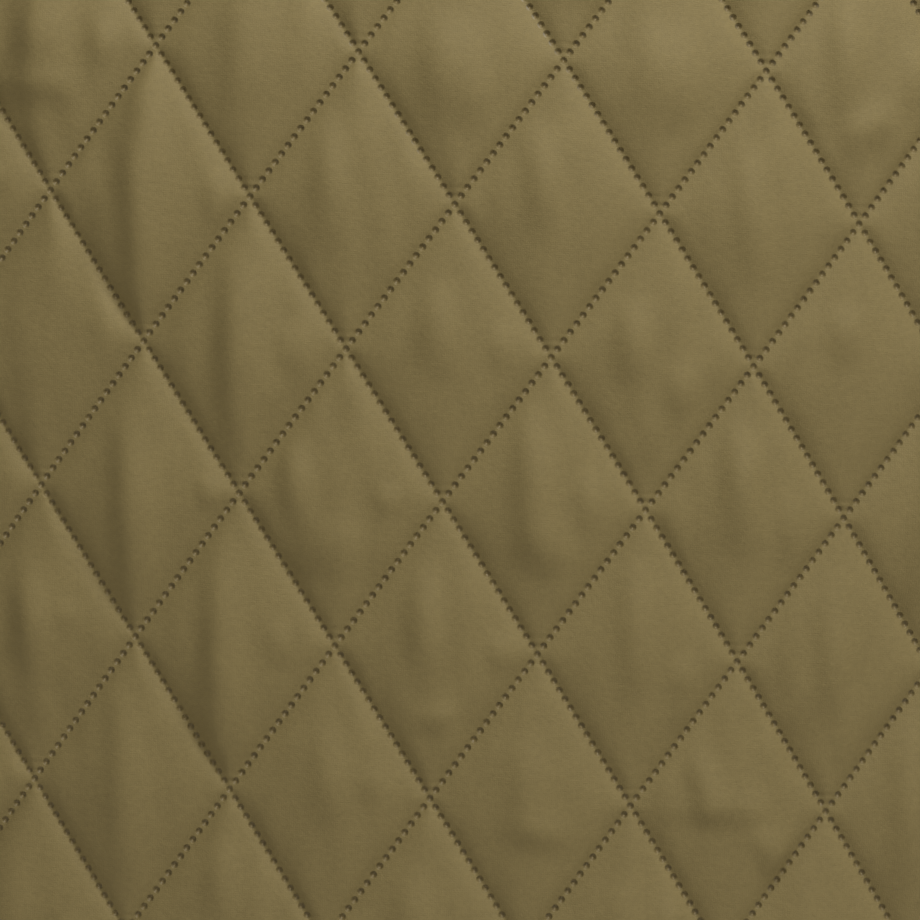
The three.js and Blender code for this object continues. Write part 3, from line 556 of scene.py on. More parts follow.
# A mesh whose edges follow the quilting lines, trimmed to an outline, with its rim drawn onto the outline.
# Blocks whose diamond isFine names are cut into finer x finer faces, and a plain block beside one takes in
# the extra points on that side. Returns the points, the faces outside and inside, and the rim.
def latticeMesh(outline, parts, finer=1, isFine=None):
    (lowX, lowY, _), (highX, highY, _) = outline.min(axis=0), outline.max(axis=0)
    s = latticeCuts(linesAt(lowX, lowY)[0], linesAt(highX, highY)[0], parts * finer)
    t = latticeCuts(linesAt(lowX, highY)[1], linesAt(highX, lowY)[1], parts * finer)
    x, y = (grid.ravel() for grid in crossingOf(*np.meshgrid(s, t, indexing="ij")))
    row = len(t)
    starts = [np.arange(0, count - 1, finer) for count in (len(s), row)]
    i, j = (grid.ravel() for grid in np.meshgrid(*starts, indexing="ij"))

    # the corners of the faces that begin at places i, j of the grid
    def block(i, j):
        corner = i * row + j
        return np.stack([corner, corner + finer, corner + finer * row + finer, corner + finer * row], axis=-1)

    middles = block(i, j)
    middleX, middleY = x[middles].mean(axis=1), y[middles].mean(axis=1)
    isIn = insideOutline(outline, middleX, middleY)
    plain = middles[isIn]
    if isFine is None:
        outside = [plain]
    else:
        fine = isFine(*map(np.floor, linesAt(middleX, middleY))).reshape(-1, (row - 1) // finer)
        beside = np.pad(fine, 1)
        sides = np.stack([beside[:-2, 1:-1], beside[1:-1, 2:], beside[2:, 1:-1], beside[1:-1, :-2]], axis=-1)
        code = (sides * [1, 2, 4, 8]).sum(axis=-1).ravel()
        steps = [1, row, -1, -row]
        outside = []
        for kind in np.unique(code[isIn & ~fine.ravel()]):
            chosen = middles[isIn & ~fine.ravel() & (code == kind)]
            loop = []
            for side in range(4):
                extra = finer if kind >> side & 1 else 1
                loop += [chosen[:, side] + k * steps[side] for k in range(extra)]
            outside.append(np.stack(loop, axis=-1))
        fineI, fineJ = i[isIn & fine.ravel()], j[isIn & fine.ravel()]
        for a in range(finer):
            for b in range(finer):
                corner = (fineI + a) * row + fineJ + b
                outside.append(np.stack([corner, corner + 1, corner + row + 1, corner + row], axis=-1))
    used = np.unique(np.concatenate([faces.ravel() for faces in outside]))
    outside = [np.searchsorted(used, faces) for faces in outside]
    plain, x, y = np.searchsorted(used, plain), x[used], y[used]
    start, end = plain.ravel(), np.roll(plain, -1, axis=1).ravel()
    isRim = ~np.isin(start * len(x) + end, end * len(x) + start)
    rim = np.stack([start[isRim], end[isRim]], axis=-1)
    edgeVertices = np.unique(rim)
    _, _, x[edgeVertices], y[edgeVertices] = roomInside(outline, x[edgeVertices], y[edgeVertices])
    for cornerX, cornerY in cornersOf(outline):
        nearest = edgeVertices[np.argmin(np.hypot(x[edgeVertices] - cornerX, y[edgeVertices] - cornerY))]
        x[nearest], y[nearest] = cornerX, cornerY
    return x, y, outside, plain, rim


# The points where an outline turns by more than half a radian.
def cornersOf(outline):
    here = outline[:, :2]
    a, b = here - np.roll(here, 1, axis=0), np.roll(here, -1, axis=0) - here
    turn = np.arctan2(a[:, 0] * b[:, 1] - a[:, 1] * b[:, 0], np.sum(a * b, axis=1))
    return here[np.abs(turn) > 0.5]


# Data as an object in the scene.
def placed(name, data):
    thing = bpy.data.objects.new(name, data)
    scene.collection.objects.link(thing)
    return thing


# A mesh object from points in millimetres and groups of faces.
def newPiece(name, points, faces, material):
    mesh = bpy.data.meshes.new(name)
    flat = [face for group in faces for face in group.tolist()]
    mesh.from_pydata((np.asarray(points) * mm).tolist(), [], flat)
    mesh.polygons.foreach_set("use_smooth", [True] * len(mesh.polygons))
    mesh.materials.append(material)
    mesh.update()
    return placed(name, mesh)


# The same for a closed shape whose faces may point either way.
def closedPiece(name, shape, material):
    piece = newPiece(name, *shape, material)
    form = bmesh.new()
    form.from_mesh(piece.data)
    bmesh.ops.recalc_face_normals(form, faces=form.faces)
    if form.calc_volume(signed=True) < 0:
        bmesh.ops.reverse_faces(form, faces=form.faces)
    form.to_mesh(piece.data)
    form.free()
    return piece


# Faces between rows of points that each close into a ring.
def ringFaces(here, ahead):
    sides = [here, np.roll(here, -1, axis=1), np.roll(ahead, -1, axis=1), ahead]
    return np.stack(sides, axis=-1).reshape(-1, 4)


# Where each point lies on the flat cloth, for the materials, in millimetres.
def givePattern(piece, pattern):
    attribute = piece.data.attributes.new("pattern", "FLOAT_VECTOR", "POINT")
    attribute.data.foreach_set("vector", np.ascontiguousarray(pattern, np.float32).ravel())


# What a piece rides on, its material slot, which is not used, and the solid that it stands in for.
def settle(piece, body, slot, *nodes):
    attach(piece, body)
    if nodes:
        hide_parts(*nodes)
    return piece


# A closed quilted shell. The outside is the surface + normal x (wall + lift), rounded off at the edges, the
# inside is the surface - normal x a share of the lift, and a rim joins them.
def quiltedPiece(name, outline, surface, turn, creases, seen, material, mirror=False, middle=0, **meshing):
    x, y, outside, plain, rim = latticeMesh(outline, **meshing)
    room, distance, _, _ = roomInside(outline, x, y)
    fade = between(0, quilt["fade"], room)
    lift = fade * quiltLift(x, y, creases, seen, middle)
    point, normal = surface(x, y), normalOf(surface, x, y, turn)
    roundEdge = np.sqrt(1 - (1 - np.clip(distance / quilt["seamFade"], 0, 1)) ** 2)
    outer = point + normal * (cloth["rim"] + (cloth["wall"] - cloth["rim"]) * roundEdge + lift)[:, None]
    inner = point - normal * (quilt["inside"] * lift / quilt["puff"])[:, None]
    below = np.unique(plain)
    count = len(x)
    innerFaces, innerRim = (np.searchsorted(below, part) + count for part in (plain, rim))
    wall = np.stack([rim[:, 1], rim[:, 0], innerRim[:, 0], innerRim[:, 1]], axis=-1)
    faces = outside + [innerFaces[:, ::-1], wall]
    points = np.concatenate([outer, inner[below]])
    if (turn < 0) != mirror:
        faces = [group[:, ::-1] for group in faces]
    if mirror:
        points = points * mirrorX
    piece = newPiece(name, points, faces, material)
    pattern = np.stack([x, y, np.ones(count)], axis=-1)
    givePattern(piece, np.concatenate([pattern, pattern[below] * np.array([1, 1, 0])]))
    triangles = sum(len(group) * (group.shape[1] - 2) for group in faces)
    print(f"vest: {name}, {triangles} triangles")
    return piece


# materials

# A number that changes over a surface: sums on it add Math nodes.
class Value:
    def __init__(self, finish, socket):
        self.finish, self.socket = finish, socket

    def math(self, operation, *others):
        values = dict(enumerate((self, *others)))
        return self.finish.value("ShaderNodeMath", {"operation": operation}, values)

    def __add__(self, other):
        return self.math("ADD", other)

    def __radd__(self, other):
        return self.math("ADD", other)

    def __sub__(self, other):
        return self.math("SUBTRACT", other)

    def __rsub__(self, other):
        return (self * -1).math("ADD", other)

    def __mul__(self, other):
        return self.math("MULTIPLY", other)

    def __rmul__(self, other):
        return self.math("MULTIPLY", other)

    def __truediv__(self, other):
        return self.math("DIVIDE", other)


# A material while it is put together. A node takes its settings, then its sockets' values or links.
class Finish:
    def __init__(self, name):
        self.material = bpy.data.materials.new(name)
        self.material.use_nodes = True
        self.tree = self.material.node_tree
        self.tree.nodes.clear()

    def node(self, kind, settings=None, values=None):
        node = self.tree.nodes.new(kind)
        for key, setting in (settings or {}).items():
            setattr(node, key, setting)
        for key, value in (values or {}).items():
            socket = node.inputs[key]
            if isinstance(value, Value):
                value = value.socket
            if isinstance(value, bpy.types.NodeSocket):
                self.tree.links.new(value, socket)
            else:
                socket.default_value = value
        return node

    def value(self, kind, settings=None, values=None):
        return Value(self, self.node(kind, settings, values).outputs[0])

    # the pattern's vector and its three numbers
    def pattern(self):
        vector = self.node("ShaderNodeAttribute", {"attribute_name": "pattern"}).outputs["Vector"]
        split = self.node("ShaderNodeSeparateXYZ", {}, {0: vector})
        return vector, *(Value(self, split.outputs[k]) for k in range(3))

    def smooth(self, value, low, high):
        return self.value("ShaderNodeMapRange", {"interpolation_type": "SMOOTHSTEP"},
                          {"Value": value, 1: low, 2: high})

    def noise(self, vector, scale, detail, roughness=0.5):
        return self.value("ShaderNodeTexNoise", {},
                          {"Vector": vector, "Scale": scale, "Detail": detail, "Roughness": roughness})

    # colours are sockets 6 and 7 of a Mix node, and its output 2
    def mix(self, factor, low, high):
        node = self.node("ShaderNodeMix", {"data_type": "RGBA"}, {"Factor": factor, 6: low, 7: high})
        return node.outputs[2]

    def bump(self, height, distance, strength=1.0, normal=None):
        values = {"Height": height, "Distance": distance, "Strength": strength}
        if normal is not None:
            values["Normal"] = normal
        return self.node("ShaderNodeBump", {}, values).outputs[0]

    def finish(self, **sockets):
        names = {key.replace("_", " "): value for key, value in sockets.items()}
        shader = self.node("ShaderNodeBsdfPrincipled", {}, names)
        self.node("ShaderNodeOutputMaterial", {}, {"Surface": shader.outputs[0]})
        return self.material


# A screen colour of 0 to 255 as the linear one that a shader takes.
def rgb(*levels):
    shares = [level / 255 for level in levels]
    return (*(c / 12.92 if c <= 0.04045 else ((c + 0.055) / 1.055) ** 2.4 for c in shares), 1.0)


weld = {
    "pitch": twoSides / 34,              # 17 pits along each side of a diamond
    "radius": 1.02, "depth": 0.78,
    "rungFrom": 1, "rungReach": 3.6,     # the bars between the rows, above and below a crossing
}
# the pit colour is mostly painted shade for the pits' hollows, with a little of the pressed cloth's own darker
# tone
clothColour = {"face": (134, 119, 76), "shade": (107, 94, 56), "pit": (72, 49, 6), "inside": (106, 94, 62)}


# Quilted cloth: a fine weave, and along each quilting line a row of pressed pits. The distance to the
# nearest pit is the root of (aside^2 + along^2), from the nearest line and the nearest of the even places
# along it. A pit is a bowl, 1 - (distance / radius)^2, squared for its dent.
def quiltedCloth():
    f = Finish("quiltedCloth")
    pattern, x, y, isOuter = f.pattern()
    width, height = quilt["width"], quilt["height"]

    # the distances to the nearest pit and the nearest line of one slant
    def toPits(sign):
        line = x / width + y * (sign / height)
        number = line.math("ROUND")
        aside = (line - number) * lineGap
        along = (x * width - y * (sign * height)) / twoSides
        along = (along - number * ((width ** 2 - height ** 2) / (2 * twoSides))) / weld["pitch"]
        alongPit = (along - along.math("ROUND")) * weld["pitch"]
        return (aside * aside + alongPit * alongPit).math("SQRT"), aside

    (pitA, asideA), (pitB, asideB) = toPits(1), toPits(-1)
    pit = pitA.math("MINIMUM", pitB)
    up = (asideA - asideB) * (height / lineGap / 2)
    over = (asideA + asideB) * (width / lineGap / 2)
    rung = (up * (2 * pi * twoSides / (weld["pitch"] * height))).math("COSINE") * 0.5 + 0.5
    lower = (up - weld["rungFrom"]) * (1 / weld["rungReach"])
    fade = (lower * lower * -1).math("EXPONENT")
    isBetween = f.smooth(up.math("ABSOLUTE") * (width / height) - over.math("ABSOLUTE"), -0.6, 0.6)
    rungs = rung * fade * isBetween
    bowl = (1 - pit * pit * (1 / weld["radius"] ** 2)).math("MAXIMUM", 0.0)
    dent = bowl * bowl
    mottle = f.noise(pattern, 0.09, 3.0)
    grain = f.noise(pattern, 0.7, 5.0, 0.8)
    thread = (x * 12 + grain * 9).math("SINE") * 0.25 + (y * 12 + grain * 9).math("SINE") * 0.25 + 0.5
    tone = mottle * 0.35 + grain * 0.9 + thread * 0.05 - 0.15
    colour = f.mix(tone, rgb(*clothColour["shade"]), rgb(*clothColour["face"]))
    colour = f.mix(isOuter, rgb(*clothColour["inside"]), colour)
    # painted shade: the colour darkens towards the pit colour by a third of the bowl, standing in for the shadow
    # in each pit
    colour = f.mix(bowl * 0.34, colour, rgb(*clothColour["pit"]))
    rough = 0.7 - bowl * 0.3 + (grain - 0.5) * 0.12
    normal = f.bump(grain * 0.9 + thread * 0.1, 0.0002)
    uneven = f.noise(pattern, 0.35, 2.0)
    normal = f.bump(1 - dent * (uneven * 1.2 + 0.4) - rungs * uneven * 0.3, weld["depth"] * mm, 1.0, normal)
    return f.finish(Base_Color=colour, Roughness=rough, Normal=normal, Specular_IOR_Level=0.35,
                    Sheen_Weight=0.04, Sheen_Roughness=0.4,
                    Coat_Weight=bowl * uneven * 0.8, Coat_Roughness=0.3)


fineMesh = {"across": 3, "up": 9, "halfWidth": 132, "halfHeight": 140}


# The diamonds of the back that get the finest mesh: those around the middle crossing.
def closeDiamonds(cellS, cellT):
    x, y = crossingOf(cellS + 0.5, cellT + 0.5)
    isNear = np.abs(x - fineMesh["across"]) < fineMesh["halfWidth"]
    return isNear & (np.abs(y - middleCrossing - fineMesh["up"]) < fineMesh["halfHeight"])


# Woven tape: two sets of threads, sines along and around it with the slant given, and grain and mottling.
def wovenTape(name, light, dark, threads, slant, sheen):
    f = Finish(name)
    pattern, along, around, _ = f.pattern()
    warp = (along * threads + around * (threads * slant)).math("SINE")
    weft = (around * threads - along * (threads * slant * 0.5)).math("SINE")
    weave = warp * 0.35 + weft * 0.15 + 0.5
    grain = f.noise(pattern, 1.6, 3.0, 0.6)
    mottle = f.noise(pattern, 0.12, 2.0)
    colour = f.mix(mottle * 0.5 + grain * 0.3 + weave * 0.2, rgb(*dark), rgb(*light))
    normal = f.bump(weave * 0.6 + grain * 0.4, 0.00009)
    return f.finish(Base_Color=colour, Roughness=0.72 - weave * 0.1, Normal=normal, Sheen_Weight=sheen,
                    Sheen_Roughness=0.4)


# Sewing thread, with a fine grain.
def sewingThread():
    f = Finish("sewingThread")
    place = f.node("ShaderNodeTexCoord").outputs["Object"]
    grain = f.noise(place, 5200.0, 2.0, 0.6)
    colour = f.mix(grain, rgb(104, 92, 58), rgb(134, 121, 82))
    return f.finish(Base_Color=colour, Roughness=0.62, Normal=f.bump(grain, 0.00005), Sheen_Weight=0.1)


# Enamelled metal: an even satin coat with fine dust in it, thinned to the metal in small rubbed places.
def enamelledMetal():
    f = Finish("enamelledMetal")
    place = f.node("ShaderNodeTexCoord").outputs["Object"]
    dust = f.noise(place, 2600.0, 3.0, 0.6)
    worn = f.smooth(f.noise(place, 900.0, 5.0, 0.65), 0.66, 0.72)
    tone = f.mix(dust, rgb(78, 70, 48), rgb(98, 88, 62))
    colour = f.mix(worn * 0.8, tone, rgb(150, 135, 100))
    return f.finish(Base_Color=colour, Roughness=0.42 + dust * 0.12 - worn * 0.12, Metallic=worn * 0.9,
                    Normal=f.bump(dust, 0.00003))


print("vest: the form is set out")
clothFinish = quiltedCloth()
bindingFinish = wovenTape("bindingTape", (118, 105, 66), (98, 86, 53), 9.0, 0.6, 0.12)
tapeFinish = wovenTape("zipTape", (92, 82, 56), (70, 62, 42), 7.0, 0.0, 0.06)
threadFinish = sewingThread()
metalFinish = enamelledMetal()


# A quilted piece in place of its node, cut flat as its outline.
def addQuilted(node, outline, surface, turn, creases, seen, **more):
    piece = quiltedPiece("vest_" + node, outline, surface, turn, creases, seen, clothFinish, **more)
    settle(piece, "vest", "quilted_cloth", node)


sides = ((1, "left"), (-1, "right"))
seenFromBehind, seenFromFront = -1, 1
addQuilted("back", backOutline(), wornSurface("back"), -1, creaseTable(backCreases, 11, 2.7), seenFromBehind,
           middle=middleCrossing, parts=11, finer=3, isFine=closeDiamonds)
frontSeeds = {"left": 23, "right": 37}
for side, word in sides:
    addQuilted("front_" + word, frontOutline(), wornSurface("front", side), 1,
               creaseTable({}, frontSeeds[word], 2.0), side * seenFromFront, mirror=side < 0, parts=16)
addQuilted("collar", collarOutline(), collarSurface, 1, creaseTable({}, 41, 0.5), seenFromFront, parts=16)

# folded strips along the edges

binding = {
    "width": 9, "step": 2,
    "thick": 0.75, "gap": 0.05,          # two layers of tape, so far off the cloth's wall
    "lipThick": 0.08, "lip": 0.6,        # the turned edge, rounded
    "crown": 0.4, "foldCrown": 0.25,     # fuller between the stitching and the fold, and towards the fold
    "foldFrom": 0.35, "foldReach": 6 / 7,
    "sink": 0.22, "sinkWidth": 0.8,      # drawn in by the stitching
    "pucker": 0.16, "puckerLength": 9.5,
    "stitchIn": 7.2,                     # the topstitching, in from the edge
    "stitchOut": (2.25, -0.75),          # its threads on both faces
}


# The run along an edge of the pattern and, at each place, the direction into the cloth. Towards the ends that
# turns to run along the seam there, so that the two halves of a binding meet.
def edgeRun(points, inwardEnds, step, blend=14):
    walked = walkedAlong(points)
    at = np.linspace(0, walked[-1], max(2, round(walked[-1] / step)) + 1)
    path = pointsAt(at, walked, points)
    along = np.gradient(path, axis=0)
    inward = unit(np.stack([-along[:, 1], along[:, 0]], axis=-1))
    for end, distance in zip(inwardEnds, (at, walked[-1] - at)):
        if end is not None:
            weight = (1 - ease(distance / blend))[:, None]
            inward = unit(inward * (1 - weight) + np.asarray(end) * weight)
    return path, inward


# Places over an edge: section points are so far in from the edge and so far out from the inside of the cloth.
# Those beyond the edge follow the cloth's heading there.
def overEdge(run, surface, turn, distance, out):
    path, inward = run
    within = np.maximum(distance, 0)
    a, b = (path[:, None, k] + inward[:, None, k] * within for k in range(2))
    point = surface(a, b) + normalOf(surface, a, b, turn) * out[..., None]
    heading = unit(surface(*(path + inward).T) - surface(*path.T))
    return point + heading[:, None, :] * np.minimum(distance, 0)[..., None]


# The way along the shoulder seam from its tip.
def shoulderHeading(half):
    tip, inward = shoulder["tipX"], -4
    return unit(np.array([inward, float(seamUp(half, tip + inward) - seamUp(half, tip))]))


# The runs along the armhole, the hem and the collar's top.
def armRun(name, step):
    half = halves[name]
    return edgeRun(armCurve(half, 300), ((0, -1), shoulderHeading(half)), step)


def hemRun(inner, step, name):
    points = np.array([[inner, hem], [halves[name]["ring"], hem]])
    return edgeRun(points, (None, None), step)


def collarTopRun(step):
    run = np.linspace(2 * halfNeck - cloth["opening"], cloth["opening"], 400)
    return edgeRun(np.stack([run, collarHeight(run)], axis=-1), ((0, -1), (0, -1)), step)


# Rows of places round an armhole: up the front and down the back.
def roundArmhole(side, distance, out, step):
    up = overEdge(armRun("front", step), wornSurface("front", side), 1, distance, out)
    down = overEdge(armRun("back", step), wornSurface("back", side), -1, distance, out)[::-1]
    return onSide(side, np.concatenate([up, down[1:-1]]))


# Rows along the hem: from the left front's edge round the back to the right front's.
def roundHem(distance, out, step):
    rows = {}
    for side in (1, -1):
        front, back = hemRun(cloth["opening"], step, "front"), hemRun(0, step, "back")
        front = overEdge(front, wornSurface("front", side), 1, distance, out)
        back = overEdge(back, wornSurface("back", side), -1, distance, out)[::-1]
        rows[side] = np.concatenate([front, back[1:]])
    return np.concatenate([rows[1], (rows[-1][:-1] * mirrorX)[::-1]])


# Rows along the collar's top.
def roundCollar(distance, out, step):
    return overEdge(collarTopRun(step), collarSurface, 1, distance, out)


# The section of a folded tape, as two loops of [distance in, out]: along the face from its turned edge,
# round the fold and back along the underside. The fold is a half ellipse. The face is out by crown x sin of
# the way in to the stitching, plus foldCrown at the fold, minus sink x exp(-(distance to the stitching /
# its width)^2).
def bindingSection(parts=11):
    width, stitchIn, sinkWidth = (binding[key] for key in ("width", "stitchIn", "sinkWidth"))
    wall = cloth["wall"]
    legs = width * (1 - np.cos(np.linspace(0, pi / 2, parts)))[::-1]   # crowded towards the fold
    legs = np.unique(np.concatenate([legs, [stitchIn - sinkWidth, stitchIn, width - 0.5]]))[::-1]
    sink = binding["sink"] * np.exp(-((legs - stitchIn) / sinkWidth) ** 2)
    crown = binding["crown"] * np.sin(pi * np.clip(legs / stitchIn, 0, 1))
    face = wall + binding["gap"] + crown + binding["foldCrown"] * (1 - legs / width) - sink
    turn = np.linspace(0, pi, 9)[1:-1]

    # a leg, the fold and the leg on the other face
    def leg(out):
        low = wall - out
        half = (out[-1] - low[-1]) / 2
        fold = np.stack([-binding["foldFrom"] - binding["foldReach"] * half * np.sin(turn),
                         wall / 2 + half * np.cos(turn)], axis=-1)
        return np.concatenate([np.stack([legs, out], axis=-1), fold, np.stack([legs, low], axis=-1)[::-1]])

    lip = np.clip((width - legs) / binding["lip"], 0, 1) ** 0.5
    thick = binding["lipThick"] + (binding["thick"] - binding["lipThick"]) * lip
    outer, inner = leg(face + thick), leg(face)
    inner[:, 0] = np.maximum(inner[:, 0], -0.25)   # the fold closes on the edge
    return outer, inner


# A folded tape: a loop of section points carried along rows of places, closed into a ring or capped at both
# ends. It puckers away from its middle by height x sin(2 pi length / puckerLength + 2 sin(length / 24)),
# with a slow swell.
def carriedStrip(name, rowsOf, step, material, isLoop):
    outer, inner = bindingSection()
    loop = np.concatenate([outer, inner[::-1]])
    places = rowsOf(loop[None, :, 0], loop[None, :, 1], step)
    length = np.arange(len(places)) * step
    wave = 2 * pi * length / binding["puckerLength"]
    wobble = np.sin(wave + 2 * np.sin(length * 0.041)) * (0.6 + 0.4 * np.sin(length * 0.13 + 1))
    middle = 1 - np.abs(2 * np.clip(loop[:, 0] / binding["stitchIn"], 0, 1) - 1) ** 2
    away = unit(places - places.mean(axis=1, keepdims=True))
    lift = binding["pucker"] * wobble[:, None] * middle
    places = places + away * lift[..., None]
    rows, count = places.shape[:2]
    index = np.arange(rows * count).reshape(rows, count)
    ahead = np.roll(index, -1, axis=0) if isLoop else index[1:]
    here = index if isLoop else index[:-1]
    faces = [ringFaces(here, ahead)]
    if not isLoop:
        k = np.arange(len(outer) - 1)
        cap = np.stack([k, count - 1 - k, count - 2 - k, k + 1], axis=-1)
        faces += [cap, (index[-1][cap])[:, ::-1]]
    piece = closedPiece(name, (places.reshape(-1, 3), faces), material)
    pattern = [np.repeat(length, count), np.tile(walkedAlong(loop), rows), np.ones(rows * count)]
    givePattern(piece, np.stack(pattern, axis=-1))
    print(f"vest: {name}, {2 * len(faces[0])} triangles, {length[-1]:.0f} mm")
    return piece, float(length[-1])


# small repeated shapes

# A rounded block: a ball whose sines and cosines are raised to a power below 1. Rows run from pole to pole.
def roundedBlock(size, square, around=8, rows=5):
    u = np.linspace(0, 2 * pi, around, endpoint=False) + pi / around
    v = np.linspace(-pi / 2, pi / 2, rows + 2)[1:-1]
    reach, height = squarer(np.cos(v), square)[:, None], squarer(np.sin(v), square)[:, None]
    wide, deep = squarer(np.cos(u), square), squarer(np.sin(u), square)
    ball = np.stack([reach * wide, reach * deep, height + 0 * u], axis=-1)
    index = np.arange(rows * around).reshape(rows, around)
    quads = ringFaces(index[:-1], index[1:])
    return ball.reshape(-1, 3) * np.asarray(size) / 2, [quads, index[:1, ::-1], index[-1:]]


# Copies of a shape. Each has a place and three directions for the shape's own x, y and z.
def copies(shape, places, axes):
    points, faces = shape
    spots = places[:, None, :] + np.einsum("pk,nkc->npc", points, axes)
    shift = (np.arange(len(places)) * len(points))[:, None, None]
    return spots.reshape(-1, 3), [(group + shift).reshape(-1, group.shape[1]) for group in faces]


# Several shapes as one.
def joined(parts):
    points, faces, count = [], [], 0
    for spots, groups in parts:
        points.append(spots)
        faces += [group + count for group in groups]
        count += len(spots)
    return np.concatenate(points), faces


# Directions for a row of places: along the row, across it, and out from the centre line given.
def rowAxes(places, out):
    along = unit(np.gradient(places, axis=0))
    across = unit(np.cross(out, along))
    return np.stack([along, across, np.cross(along, across)], axis=1)


stitch = {"pitch": 3.1, "length": 2.5, "thread": 0.5, "flat": 0.8}


# A row of stitches that follows an edge, so far in from it and so far out.
def stitchRow(rowsOf, distance, out):
    size = (stitch["length"], stitch["thread"], stitch["thread"] * stitch["flat"])
    pair = rowsOf(np.array([[distance, distance]]), np.array([[out, out + 1.0]]), stitch["pitch"])
    places, upward = pair[:, 0], pair[:, 1] - pair[:, 0]
    return copies(roundedBlock(size, 0.8, around=6, rows=4), places, rowAxes(places, upward))


# the zip

# lengths run up from the hem, across is from the middle of the front and out from the inside of the cloth
zipper = {
    "toothTop": 0.6, "toothBottom": -1.8, "pitch": 2.8,
    "base": (2.5, 1.55, 2.4), "baseAt": 1.75, "head": (2.3, 1.35, 1.5), "headAt": 0.45,
    "tapeIn": 1.7, "tapeOut": 14.8, "tapeTop": -0.3, "tapeBottom": -0.9,
    "bead": 0.62, "beadIn": 0.55, "beadRoom": 1.4,
    "boxLength": 9, "endRoom": 3, "stopLength": 3, "stitchAt": 13.2,
}
slider = {
    "width": 8.4, "length": 11, "plate": 1, "play": 0.35, "crown": 0.25, "waist": 0.16,
    "postLength": 3.2, "postHalf": 1.4,
    "guardIn": 0.9, "guardHalf": 0.42, "guardHeight": 1.1,
    "bailWidth": 1.7, "bailBar": 1, "bailReach": 2.7, "bailFoot": 0.5, "bailRoom": 0.35,
}
pull = {
    "width": 6.6, "length": 25, "thick": 1.3, "bar": 1.3, "round": 0.28, "tip": 3, "corner": 0.9,
    "windowWidth": 3.2, "windowLength": 6.4, "windowCorner": 0.7, "eye": 2.4, "eyeUp": 3.4,
    "over": 0.45,   # its bar stands so far over the slider
}
neckGap = 0.3
bodyLength = halves["front"]["neckUp"] - hem
zipStart = binding["width"] + 1
zipEnd = bodyLength + neckGap + float(collarHeight(np.array(7.0))) - zipStart
sliderAt = zipEnd - zipper["endRoom"] - zipper["stopLength"] - slider["length"] / 2 - 1
toothMiddle = (zipper["toothTop"] + zipper["toothBottom"]) / 2


# Places on the inside of a front and the collar's end, at lengths up from the hem.
def onTape(side, lengths, across, out):
    lengths, across, out = np.broadcast_arrays(lengths, across, out)
    front = wornSurface("front", side)
    low, high = np.minimum(lengths, bodyLength) + hem, np.maximum(0, lengths - bodyLength - neckGap)
    isBody = (lengths <= bodyLength)[..., None]
    body = front(across, low) + normalOf(front, across, low, 1) * out[..., None]
    neck = collarSurface(across, high) + normalOf(collarSurface, across, high, 1) * out[..., None]
    return np.where(isBody, body, neck)


# The zip's own line, up the middle of the front: its places and its outward directions, both smoothed a
# little where it bends at the neck.
def zipLine(lengths, reach=7):
    shifts = np.linspace(-reach, reach, 9)
    spots = np.clip(lengths[:, None] + shifts, zipStart - 8, zipEnd)
    places = onTape(1, spots, 0.6, 0.0).mean(axis=1)
    raised = onTape(1, spots, 0.6, 1.0).mean(axis=1)
    return places * inMiddle, unit((raised - places) * inMiddle)


# Directions on the zip's line: across, along it and out.
def zipAxes(lengths):
    places, _ = zipLine(lengths)
    ahead, behind = zipLine(lengths + 1)[0], zipLine(lengths - 1)[0]
    along = unit(ahead - behind)
    across = np.tile([1.0, 0.0, 0.0], (len(lengths), 1))
    return places, np.stack([across, along, np.cross(across, along)], axis=1)


# Parts set on the zip at lengths, each so far across and out.
def setOnZip(shape, lengths, across=0.0, out=0.0):
    places, axes = zipAxes(np.atleast_1d(np.asarray(lengths, float)))
    places = places + axes[:, 0] * across + axes[:, 2] * out
    return copies(shape, places, axes)


# A side's teeth, each a base round the tape and a head that meets the other side's, by turns with them.
def toothRow(side, start, end):
    lengths = np.arange(start + (0.25 if side > 0 else 0.75) * zipper["pitch"], end - 0.5, zipper["pitch"])
    base = setOnZip(roundedBlock(zipper["base"], 0.4), lengths, side * zipper["baseAt"], toothMiddle)
    head = setOnZip(roundedBlock(zipper["head"], 0.45), lengths, side * zipper["headAt"], toothMiddle)
    return joined([base, head])


# A side's tape: a flat section that ends in a bead, three quarters of a circle, which runs inside the teeth.
def zipTape(side, word):
    low, high, top, bottom = (zipper[key] for key in ("tapeIn", "tapeOut", "tapeTop", "tapeBottom"))
    turn = np.linspace(0.25 * pi, 1.75 * pi, 9)
    bead = np.stack([low + zipper["beadIn"] + zipper["bead"] * np.cos(turn),
                     (top + bottom) / 2 + zipper["bead"] * np.sin(turn)], axis=-1)
    flat = np.linspace(low + zipper["beadRoom"], high, 14)
    section = np.concatenate([np.stack([flat[::-1], 0 * flat + top], axis=-1), bead,
                              np.stack([flat, 0 * flat + bottom], axis=-1)])
    lengths = np.linspace(zipStart, zipEnd, 240)
    places = onSide(side, onTape(side, lengths[:, None], section[None, :, 0], section[None, :, 1]))
    rows, count = places.shape[:2]
    index = np.arange(rows * count).reshape(rows, count)
    k = np.arange(count // 2)
    cap = np.stack([k[:-1], count - 1 - k[:-1], count - 1 - k[1:], k[1:]], axis=-1)
    middle = np.array([[count // 2 - 1, count // 2, count // 2 + 1]])
    faces = [ringFaces(index[:-1], index[1:]), cap, middle]
    faces += [index[-1][cap][:, ::-1], index[-1][middle][:, ::-1]]
    piece = closedPiece("vest_tape_" + word, (places.reshape(-1, 3), faces), tapeFinish)
    along, across = np.repeat(lengths, count), np.tile(section[:, 0], rows)
    givePattern(piece, np.stack([along, across, np.ones(rows * count)], axis=-1))
    (zipEnd - zipStart) * mm
    return piece


